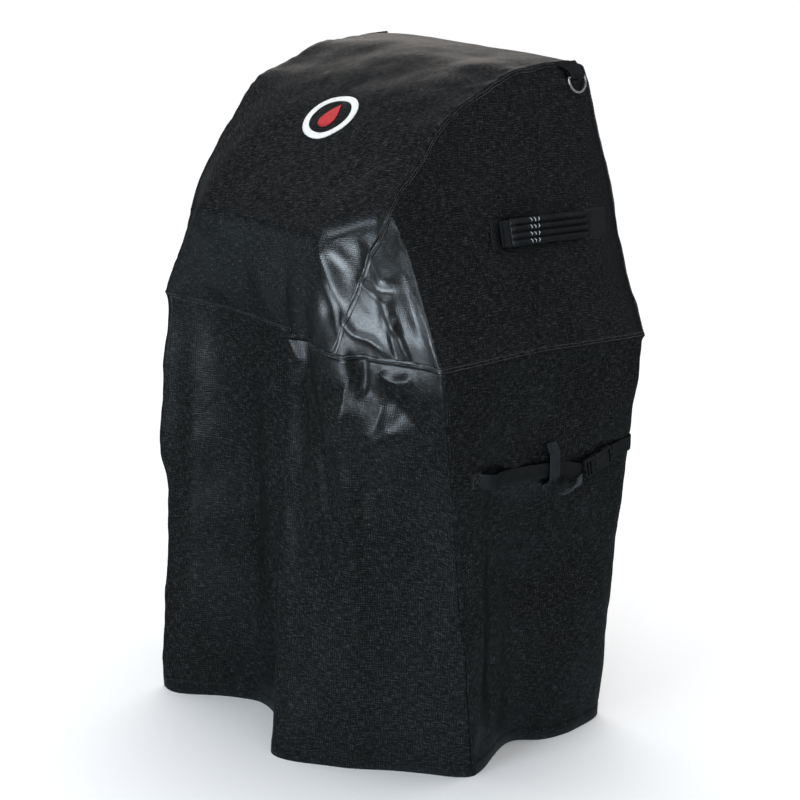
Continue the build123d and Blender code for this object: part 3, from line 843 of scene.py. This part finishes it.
# --- panels ---
WAIST_AND_SIDES = ["high", "left", "right"]
ALL_ROUND = ["low", "high", "left", "right"]
panel_shapes = {
    "hood_middle": (softened(hood_middle_grid()), ALL_ROUND, False, "hood_middle_panel"),
    "hood_side_right": (softened(hood_side_grid(1)), ["low", "high"], False, "hood_side_panel_right"),
    "hood_side_left": (softened(hood_side_grid(-1)), ["low", "high"], True, "hood_side_panel_left"),
}
for side, grid in zip(("front", "right", "back", "left"), skirt_grids()):
    panel_shapes[f"skirt_{side}"] = (grid, WAIST_AND_SIDES, False, f"skirt_{side}_panel")
cloth = {name: draped(grid, edges) for name, (grid, edges, _, _) in panel_shapes.items()}
panels = {}
for name, (_, _, flip, node) in panel_shapes.items():
    piece = thicken(grid_object(name, cloth[name], flip), CLOTH)
    panels[name] = finish_piece(piece, CLOTH_LOOK, "cover", "coated_cloth", node)

tree_points, tree_faces = [], []
for grid in cloth.values():
    first = len(tree_points)
    tree_points.extend(grid.reshape(-1, 3).tolist())
    tree_faces += grid_faces(*grid.shape[:2], first=first)
cloth_tree = BVHTree.FromPolygons(tree_points, tree_faces)


def lay(point, normal, lift=0.0, reach=70.0):
    """The place on the cloth below a point, raised by a distance."""
    normal = np.asarray(normal, float)
    spot, _, _, _ = cloth_tree.ray_cast(Vector(point + normal * reach), Vector(-normal), 2 * reach)
    return (np.array(spot) if spot else np.asarray(point, float)) + normal * lift


# --- seams ---
hood_waist = [(cloth["hood_middle"], "low"), (cloth["hood_middle"], "high")]
hood_waist += [(cloth["hood_side_right"], "low"), (cloth["hood_side_left"], "low")]
skirt_names = ("skirt_front", "skirt_right", "skirt_back", "skirt_left")
FELLED = [(-0.4, 0.2), (0.5, 0.9), (2.5, 1.2), (6.5, 1.1), (9.0, 0.8), (10.0, 0.1)]
HEM_PROFILE = [(0.0, 0.2), (0.8, 0.7), (20.0, 0.7), (23.0, 0.45), (26.0, 0.02)]

waist_seam = seam_band("waist_seam", hood_waist, [(d, 1.35 * lift) for d, lift in FELLED])
hem_band = seam_band("hem_band", [(cloth[name], "low") for name in skirt_names], HEM_PROFILE)
corner_seams = seam_band("skirt_seams", [(cloth[name], "left") for name in skirt_names], FELLED)
hood_seam_bands = [
    seam_band(f"hood_seam_{name}", [(cloth[f"hood_side_{name}"], "high")], FELLED)
    for name in ("right", "left")
]
for piece in (waist_seam, hem_band, corner_seams, *hood_seam_bands):
    finish_piece(piece, CLOTH_LOOK, "cover", "coated_cloth")


def sew(name, rows, look, body="cover", slot="webbing", **sizes):
    return finish_piece(stitches(name, rows, **sizes), look, body, slot)


def seam_rows(sewn, distances, lift):
    return [inset(grid, edge, distance, lift) for grid, edge in sewn for distance in distances]


TWO_ROWS = (2.2, 7.2)  # distances in from the seam
HEM_ROW, CORNER_ROW = (20.5,), (7.2,)
LONG_STITCH = dict(pitch=5.0, length=3.4)

sew("waist_stitching", seam_rows(hood_waist, TWO_ROWS, 1.6), THREAD_LOOK, slot="coated_cloth")
for name in ("right", "left"):
    rows = seam_rows([(cloth[f"hood_side_{name}"], "high")], TWO_ROWS, 1.2)
    sew(f"hood_stitching_{name}", rows, THREAD_LOOK, slot="coated_cloth")
for name, edge, distances, lift in (("hem", "low", HEM_ROW, 0.8), ("skirt", "left", CORNER_ROW, 1.1)):
    rows = seam_rows([(cloth[skirt], edge) for skirt in skirt_names], distances, lift)
    sew(f"{name}_stitching", rows, DARK_THREAD_LOOK, slot="coated_cloth", **LONG_STITCH)

# --- hardware ---
joints = {joint["name"]: joint for joint in frame["joints"]}
mounts = {mount["name"]: mount for mount in frame["record"]["mounts"]}


class Place:
    """Frame on a flat side of the hood: a towards the back, b up the slope, c outward."""

    def __init__(self, side, origin, along, normal):
        self.side, self.origin = side, np.asarray(origin, float)
        self.along, self.normal = unit(np.asarray(along, float)), unit(np.asarray(normal, float))
        self.up = side * np.cross(self.normal, self.along)

    def point(self, a, b, c):
        return self.origin + a * self.along + b * self.up + c * self.normal

    def laid(self, a, b, lift):
        """The point of the cloth under (a, b), raised by a distance."""
        return lay(self.point(a, b, 0), self.normal, lift)

    def sewn(self, line):
        """A line of stitching here: its points and their normals."""
        return np.array(line), np.repeat(self.normal[None], len(line), 0)


def patch(name, place, a_range, b_range, lift, thick):
    """Piece of webbing or cloth sewn flat on the cloth, its rim pressed down."""
    a = np.linspace(*a_range, max(4, int((a_range[1] - a_range[0]) / 3)))
    b = np.linspace(*b_range, max(4, int((b_range[1] - b_range[0]) / 3)))
    rows = []
    for i, q in enumerate(b):
        rim_b = i in (0, len(b) - 1)
        rows.append([place.laid(p, q, lift + (0 if rim_b or j in (0, len(a) - 1) else thick))
                     for j, p in enumerate(a)])
    grid = np.array(rows)
    return thicken(grid_object(name, grid, flip=place.side < 0), thick * 0.7, -1 if lift >= 0 else 1)


def row_on(place, points, lift):
    """Stitching row through (a, b) points on the cloth."""
    corners = np.array([(*p, 0.0) for p in points], float)
    flat = even(corners, max(3, int(lengths(corners)[-1] / 2)))
    return place.sewn([place.laid(a, b, lift) for a, b, _ in flat])


def box_rows(place, a_range, b_range, lift):
    """Box stitch with a cross in it."""
    (a0, a1), (b0, b1) = a_range, b_range
    outline = [(a0, b0), (a1, b0), (a1, b1), (a0, b1), (a0, b0)]
    return [row_on(place, outline, lift), row_on(place, [(a0, b0), (a1, b1)], lift),
            row_on(place, [(a0, b1), (a1, b0)], lift)]


HANDLE_HALF = 135.0
HANDLE_WIDTH = 44.0
FRONT_PATCH = (-HANDLE_HALF, -HANDLE_HALF + 22)
BACK_PATCH = (84.0, HANDLE_HALF)
GRIP = (-107.0, 72.0)  # its front and back ends
GRIP_OUT = 13.5  # how far its middle stands off the panel
RIBS = 4
RIB_WIDTH = HANDLE_WIDTH / RIBS
RIB_HALF_HEIGHT = 5.4
BOX_STITCH = dict(pitch=3.6, length=2.5, radius=0.34)


def rib_height(b):
    """Share of the ribs' full height at a distance up from the grip's middle line."""
    return abs(np.cos((b / RIB_WIDTH + RIBS / 2) * math.pi - math.pi / 2)) ** 0.85


def grip_shape(name, place):
    """Padded sleeve round the webbing, sewn into ribs along its length."""
    across, along = 45, 84
    b = np.linspace(-1, 1, across)
    rib = rib_height(b * HANDLE_WIDTH / 2)
    edge = np.sqrt(np.maximum(0, 1 - abs(b) ** 6))
    rings = []
    for i, a in enumerate(np.linspace(*GRIP, along)):
        t = i / (along - 1)
        close = min(1, 0.35 + 0.65 * math.sqrt(min(1, min(t, 1 - t) / 0.028)))
        pucker = 1 + 0.05 * np.sin(a * 0.42 + b * 5) + 0.04 * np.sin(a * 0.23 + b * 9 + 2)
        thick = (0.6 + RIB_HALF_HEIGHT * rib * pucker) * edge * close
        half = HANDLE_WIDTH / 2 * (0.985 + 0.015 * close)
        bow = 1.2 * math.sin(math.pi * t)
        outer = [place.point(a, q * half, GRIP_OUT + bow + h) for q, h in zip(b, thick)]
        inner = [place.point(a, q * half, GRIP_OUT + bow - h) for q, h in zip(b[::-1], thick[::-1])]
        rings.append([*outer, *inner])
    rings = np.array(rings)
    count = 2 * across
    u = np.repeat(np.linspace(*GRIP, along)[:, None], count, 1)
    v = np.tile(np.concatenate([b, b[::-1]]) * HANDLE_WIDTH / 2, (along, 1))
    uv = np.stack([u, v], -1).reshape(-1, 2)
    return outside_up(mesh_object(name, rings.reshape(-1, 3), tube_faces(along, count), uv))


def handle_strap(place, end, name):
    """Webbing from a sewn patch out to the grip."""
    foot, head = (FRONT_PATCH[0] + 16, GRIP[0] + 3) if end == "front" else (BACK_PATCH[0] + 6, GRIP[1] - 3)
    toward = math.copysign(1, head - foot)
    path = [
        (foot, 2.4), (foot + toward * 6, 2.5), (head - toward * 6, 3.4), (head + toward * 4, 9.0),
        (head + toward * 12, GRIP_OUT),
    ]
    line = spline([place.point(a, 0, c) for a, c in path], 24)
    piece = ribbon(f"handle_strap_{end}_{name}", line, place.up, HANDLE_WIDTH - 2, 1.8, 15)
    piece.data.materials.append(WEBBING_LOOK)
    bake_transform(piece)
    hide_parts(f"handle_webbing_{name}")


def tack_rows(place):
    """Three columns of heavy white tacks, one tack to each rib in a column."""
    rows = []
    steps = (-1, -0.5, 0, 0.5, 1)
    for column, lean in enumerate((1.6, 1.2, -1.2)):
        for i in range(RIBS):
            middle = (i - (RIBS - 1) / 2) * RIB_WIDTH
            a = -66.0 + 8.5 * column + 1.7 * (i - 1.5)
            line = [place.point(a + lean * q, middle - 4.0 * q, GRIP_OUT + 7.6 - 2.6 * q * q) for q in steps]
            rows.append(place.sewn(line))
    return rows


def grip_threads(place, name):
    """The grip's tacks, the thread round its front end, and the rows between its ribs."""
    body = f"grip_{name}"
    rise = np.linspace(-19.5, 19.5, 60)
    rim = [place.point(GRIP[0] + 5, b, GRIP_OUT + 1.2 + 5.2 * rib_height(b)) for b in rise]
    sew(f"grip_tacks_{name}", tack_rows(place), LIGHT_THREAD_LOOK, body, pitch=8.6, length=8.2, radius=0.9)
    sew(f"grip_rim_{name}", [place.sewn(rim)], THREAD_LOOK, body, pitch=3.0, length=2.0, radius=0.24)
    rows = []
    for i in range(1, RIBS):
        b = (i - RIBS / 2) * RIB_WIDTH
        line = [place.point(a, b, GRIP_OUT + 2.6) for a in np.linspace(GRIP[0] + 4, GRIP[1] - 4, 40)]
        rows.append(place.sewn(line))
    sew(f"grip_stitching_{name}", rows, DARK_THREAD_LOOK, body, pitch=4.0, length=3.0, radius=0.4)


def handle(side, name):
    """Carrying handle: sewn patches, webbing, padded grip, and the facing inside the hood."""
    joint = joints[f"grip_lift_{name}"]
    normal = np.array(mounts[f"ring_{name}"]["axis"])
    along = -side * np.array(joint["axis"])
    place = Place(side, np.array(joint["pos_m"]) / MM - 1.5 * normal, along, normal)
    # the back patch's webbing is painted lighter than the front's: painted sheen
    for end, span, look in (("front", FRONT_PATCH, WEBBING_LOOK), ("back", BACK_PATCH, BACK_PATCH_SHEEN_LOOK)):
        piece = patch(f"handle_tack_{end}_{name}", place, span, (-25, 25), 0.3, 1.2)
        finish_piece(piece, look, "cover", "webbing", f"handle_patch_{end}_{name}")
        rows = box_rows(place, (span[0] + 4, span[1] - 4), (-20, 20), 1.6)
        sew(f"handle_stitching_{end}_{name}", rows, DARK_THREAD_LOOK, **BOX_STITCH)
    for end in ("front", "back"):
        handle_strap(place, end, name)
    grip = grip_shape(f"grip_pad_{name}", place)
    finish_piece(grip, WEBBING_LOOK, f"grip_{name}", "webbing", f"handle_grip_{name}")
    grip_threads(place, name)
    inside = (-HANDLE_HALF - 8, HANDLE_HALF + 2)
    piece = patch(f"handle_facing_{name}", place, inside, (-30, 30), -CLOTH - 0.6, -0.8)
    finish_piece(piece, CLOTH_LOOK, "cover", "coated_cloth", f"handle_backing_{name}")


RING_OUT = 5.0  # how far the ring's bar stands off the panel
TAB_HALF = 16.0
TAB_TOP, TAB_TOP_WIDTH = 27.0, 52.0  # its sewn end: height above the bar, and width
TAB_LEAN = 18.0  # how far forward its sewn end sits
LOOP_R = 3.1


def ring_tab(side, name):
    """Webbing from the top seam, folded round the ring's bar and tacked down behind it."""
    joint = joints[f"d_ring_swing_{name}"]
    normal = np.array(mounts[f"ring_{name}"]["axis"])
    place = Place(side, np.array(joint["pos_m"]) / MM - RING_OUT * normal, (0, 1, 0), normal)
    turns = np.radians(np.linspace(-20, 190, 12))
    wrap = [(-LOOP_R * math.sin(t), RING_OUT + LOOP_R * math.cos(t)) for t in turns]
    path = [(TAB_TOP, 2.4), (20.0, 3.0), (12.0, 5.6), (6.0, 7.8)] + wrap + [(5.0, 1.9), (11.0, 1.6)]
    drop = np.clip((TAB_TOP - np.array([b for b, _ in path])) / TAB_TOP, 0, 1)
    line = np.array([place.point(-TAB_LEAN * (1 - d) ** 2, b, c) for (b, c), d in zip(path, drop)])
    line = even(spline(line, 120), 60)
    width = np.interp(lengths(line), (0, 22), (TAB_TOP_WIDTH, 2 * TAB_HALF))
    piece = ribbon(f"ring_tape_{name}", line, place.along, width, 1.2, 11)
    finish_piece(piece, WEBBING_LOOK, "cover", "webbing", f"ring_tab_{name}")
    coat_node(f"d_ring_{name}", RING_SHEEN_LOOK)


STRAP_X = 338.0  # the plane that the side's strap keeps close to
WEBBING = 25.0  # its width
WEB_THICK = 1.4
WEB_X = STRAP_X + WEB_THICK / 2
KEEPER_Y = 69.0
KEEPER_WIDTH = 26.0
KEEPER_DEEP = 5.0  # how far it pulls the webbing in
KEEPER_TOP, KEEPER_BOTTOM = 566.0, 503.0
KEEPER_OUT = STRAP_X - KEEPER_DEEP + WEB_THICK + 2.6


def strap_line(side, path, count, plane=WEB_X):
    """Even points along a path of (distance out from a plane, place front to back, height)."""
    points = (np.array(path, float) + (plane, 0, 0)) * (side, 1, 1)
    return even(spline(points, 200), count)


def strap_front(side, name):
    """Webbing from its tack through the keeper to the plug."""
    path = [
        (-9, -104, 551), (1, -94, 549), (5, -84, 547), (1, -72, 545), (-6, -55, 542), (-11, -20, 538),
        (-11, 10, 534), (-8, 40, 531), (-KEEPER_DEEP, KEEPER_Y, 528), (-1, 100, 522), (1, 134, 510),
    ]
    line = strap_line(side, path, 110)
    piece = ribbon(f"cinch_front_{name}", line, (0, 0.12, 1), WEBBING, WEB_THICK, 11)
    finish_piece(piece, WEBBING_LOOK, "cover", "webbing", f"strap_webbing_front_{name}")
    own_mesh(piece)


def strap_rear(side, name):
    """Webbing from the socket round the corner to its tack on the back."""
    path = [
        (2, 208, 526), (0, 232, 528), (-1, 256, 528), (-7, 269.5, 528), (-18, 273.2, 528),
        (-48, 273, 527), (-80, 272, 527),
    ]
    piece = ribbon(f"cinch_rear_{name}", strap_line(side, path, 70), (0, 0, 1), WEBBING, WEB_THICK, 11)
    finish_piece(piece, WEBBING_LOOK, "cover", "webbing", f"strap_webbing_rear_{name}")


def strap_tail(side, name):
    """Free end of the webbing, which leaves the plug upright and then twists."""
    line = strap_line(side, [(3, 80, 483), (6, 92, 485), (7, 106, 490), (5, 120, 494), (3, 134, 498)], 40)
    twist = fade(np.linspace(1.5, -0.2, len(line)))[:, None]
    lying = twist * (side, -0.15, 0.25) + (1 - twist) * (0, 0, 1)
    piece = ribbon(f"cinch_tail_{name}", line, lying, WEBBING * 0.7, WEB_THICK, 9)
    # painted highlight: the tail's tape is a much lighter copy of the strap's webbing
    finish_piece(piece, TAIL_HIGHLIGHT_LOOK, f"plug_{name}", "webbing", f"strap_tail_{name}")


def strap_tacks(side, name):
    """The strap's two sewn ends: on the side in front, and on the back."""
    side_place = Place(side, (side * 335, 0, 540), (0, 1, 0), (side, 0, 0))
    back_place = Place(side, (side * 270, 270, 527), (side, 0, 0), (0, 1, 0))
    back_place.up = np.array((0.0, 0.0, 1.0))
    ends = (("front", side_place, (-121, -97), (-3, 27)), ("rear", back_place, (-22, 24), (-17, 17)))
    rows = []
    for end, place, *spans in ends:
        piece = patch(f"cinch_tack_{end}_{name}", place, *spans, 0.3, 1.2)
        finish_piece(piece, WEBBING_LOOK, "cover", "webbing", f"strap_anchor_{end}_{name}")
        rows += box_rows(place, *[(low + 4, high - 4) for low, high in spans], 1.6)
    sew(f"cinch_stitching_{name}", rows, THREAD_LOOK, **BOX_STITCH)


def keeper(side, name):
    """Upright loop over the webbing, sewn down above and below it."""

    def foot(y, z, lift):
        return lay(np.array((side * KEEPER_OUT, y, z)), (side, 0, 0), lift)

    heights = (KEEPER_TOP + 9, KEEPER_TOP, KEEPER_BOTTOM, KEEPER_BOTTOM - 9)
    feet = [abs(foot(KEEPER_Y, z, 0.9)[0]) for z in heights]
    path = [
        (feet[0], heights[0]), (feet[1] + 1, KEEPER_TOP + 1), (KEEPER_OUT, KEEPER_TOP - 9),
        (KEEPER_OUT + 1, 535), (KEEPER_OUT, KEEPER_BOTTOM + 9), (feet[2] + 1, KEEPER_BOTTOM - 1),
        (feet[3], heights[3]),
    ]
    line = strap_line(side, [(out, KEEPER_Y, z) for out, z in path], 50, plane=0)
    piece = ribbon(f"cinch_keeper_{name}", line, (0, 1, 0), KEEPER_WIDTH, 1.3, 9)
    # painted sheen: the keeper's tape is a lighter copy of the strap's webbing
    finish_piece(piece, KEEPER_SHEEN_LOOK, "cover", "webbing", f"strap_keeper_{name}")
    rows = []
    for z in (KEEPER_TOP + 5, KEEPER_BOTTOM - 5):
        points = [foot(y, z, 2.0) for y in np.linspace(KEEPER_Y - 11, KEEPER_Y + 11, 9)]
        rows.append((np.array(points), np.repeat([(side, 0, 0)], len(points), 0)))
    sew(f"keeper_stitching_{name}", rows, THREAD_LOOK, pitch=3.0, length=2.2, radius=0.34)


def strap(side, name):
    """Cinch strap: its webbing in four pieces and two tacks, and the buckle's two halves."""
    for build in (strap_front, strap_rear, strap_tail, strap_tacks, keeper):
        build(side, name)
    for half in ("plug", "socket"):
        coat_node(f"buckle_{half}_{name}", BUCKLE_LOOK)


for side, name in ((1, "right"), (-1, "left")):
    handle(side, name)
    ring_tab(side, name)
    strap(side, name)

# --- badge ---
low, high = (np.array(corner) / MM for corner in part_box("badge_ring"))
slope = math.atan2(high[2] - low[2], high[1] - low[1])
badge = Place(1, (low + high) / 2, (1, 0, 0), (0, -math.sin(slope), math.cos(slope)))
BADGE_R = (high[0] - low[0]) / 2
BADGE_LIFT = 0.7


def badge_grid(name, radii, look, slot, node):
    """Printed shape on the lid from rings of (a, b) points."""
    grid = np.array([[badge.laid(a, b, BADGE_LIFT) for a, b in ring] for ring in radii])
    rows, columns = grid.shape[:2]
    flat = np.array(radii).reshape(-1, 2)
    obj = mesh_object(name, grid.reshape(-1, 3), grid_faces(rows, columns, closed=True), flat)
    shape = bmesh.new()
    shape.from_mesh(obj.data)
    bmesh.ops.remove_doubles(shape, verts=shape.verts, dist=1e-6)
    bmesh.ops.recalc_face_normals(shape, faces=shape.faces)
    if sum(face.normal.z for face in shape.faces) < 0:
        bmesh.ops.reverse_faces(shape, faces=shape.faces)
    shape.to_mesh(obj.data)
    shape.free()
    thicken(obj, 0.5)
    finish_piece(obj, look, "cover", slot, node)


around = np.linspace(0, 2 * math.pi, 120, endpoint=False)
circle = np.stack([np.cos(around), np.sin(around)], -1)
rings = [circle * BADGE_R * r for r in np.linspace(1, 0.76, 6)]
badge_grid("badge_band", rings, WHITE_LOOK, "badge_white", "badge_ring")
FLAME_R = BADGE_R * 0.52
half_flame = [(0, 1.1), (0.30, 0.62), (0.52, 0.15), (0.62, -0.35), (0.42, -0.82), (0, -1.0)]
right_half = spline([(x, y, 0) for x, y in half_flame], 40)[:, :2]
outline = np.vstack([right_half, right_half[-2:0:-1] * (-1, 1)]) * FLAME_R
rings = [outline * r for r in (1, 0.8, 0.6, 0.4, 0.2, 0.02)]
badge_grid("badge_fire", rings, RED_LOOK, "badge_red", "badge_flame")

# --- each cloth panel's grid, looked up and not used ---
for name, piece in panels.items():
    grid = panel_shapes[name][0]

# --- stage ---
floor_mesh = bpy.data.meshes.new("floor")
floor_mesh.from_pydata([(-9, -9, 0), (9, -9, 0), (9, 9, 0), (-9, 9, 0)], [], [(0, 1, 2, 3)])
floor = add_object("floor", floor_mesh)
floor.visible_glossy = False
floor_look = Look("floor")
floor_look.set(Base_Color=(0.88, 0.88, 0.88, 1), Roughness=0.9, Specular_IOR_Level=0.1)
floor_mesh.materials.append(floor_look.material)

# How bright the room is by height of the direction, from straight down to straight up.
WORLD_STOPS = [
    (0.0, (0.24, 0.30, 0.34)),
    (0.34, (0.055, 0.068, 0.068)),
    (0.62, (0.16, 0.17, 0.18)),
    (0.95, (0.10, 0.105, 0.12)),
]


def area_light(name, place, aim, size, power, colour):
    data = bpy.data.lights.new(name, "AREA")
    data.shape = "RECTANGLE"
    data.size, data.size_y = size
    data.energy = power
    data.color = colour
    light = add_object(name, data)
    light.location = place
    light.rotation_euler = (Vector(aim) - Vector(place)).to_track_quat("-Z", "Y").to_euler()
    return light


area_light("window", (0.15, -3.1, 1.35), (0.10, 0, 0.8), (0.9, 1.3), 38, (0.76, 0.89, 1.0))
area_light("lamp", (1.93, -2.64, 1.12), (0.3, -0.2, 0.86), (0.6, 0.6), 17, (0.80, 0.91, 1.0))
card = area_light("card", (0.155, -0.375, 0.69), (0.155, -0.375, 3), (0.15, 0.15), 1.1, (0.78, 0.90, 1.0))
card.visible_camera = card.visible_diffuse = False
area_light("wall", (-2.7, 2.4, 2.0), (0, 0, 1.1), (1.8, 1.6), 6, (1.0, 0.92, 0.84))
sky_data = bpy.data.lights.new("overhead", "SUN")
sky_data.energy = 3.5
sky_data.angle = 1.6
sky = add_object("overhead", sky_data)
sky.rotation_euler = (math.radians(-14), math.radians(-10), 0)
sky.visible_glossy = False

world = bpy.data.worlds.new("world")
bpy.context.scene.world = world
world.use_nodes = True
sky_tree = world.node_tree
sky_tree.nodes.clear()
direction = add_node(sky_tree, "SeparateXYZ", {0: add_node(sky_tree, "TexCoord", {}, "Generated")}, "Z")
rise = add_node(sky_tree, "MapRange", {0: direction, "From Min": -1.0})
room = add_node(sky_tree, "Background", {0: add_ramp(sky_tree, rise, WORLD_STOPS)})
backdrop = add_node(sky_tree, "Background", {0: (1, 1, 1, 1), 1: 1.1})
seen = add_node(sky_tree, "LightPath", {}, "Is Camera Ray")
chosen = add_node(sky_tree, "MixShader", {0: seen, 1: room, 2: backdrop})
add_node(sky_tree, "OutputWorld", {0: chosen})

# --- camera ---
AZIMUTH, PITCH, ROLL = math.radians(45.5), math.radians(18.4), math.radians(0.5)
CAMERA_PLACE = (2.362, -2.278, 1.674)
LENS = 90.4
camera_data = bpy.data.cameras.new("camera")
camera_data.lens = LENS
camera_data.sensor_width = 36
camera = add_object("camera", camera_data)
level = Vector((-math.sin(AZIMUTH), math.cos(AZIMUTH), 0))
forward = level * math.cos(PITCH) - Vector((0, 0, math.sin(PITCH)))
right = Vector((math.cos(AZIMUTH), math.sin(AZIMUTH), 0))
up = right.cross(forward)
rolled_right = right * math.cos(ROLL) + up * math.sin(ROLL)
rolled_up = up * math.cos(ROLL) - right * math.sin(ROLL)
turn = Matrix((rolled_right, rolled_up, -forward)).transposed().to_4x4()
camera.matrix_world = Matrix.Translation(CAMERA_PLACE) @ turn
bpy.context.scene.camera = camera
bpy.context.scene.view_settings.view_transform = "Standard"
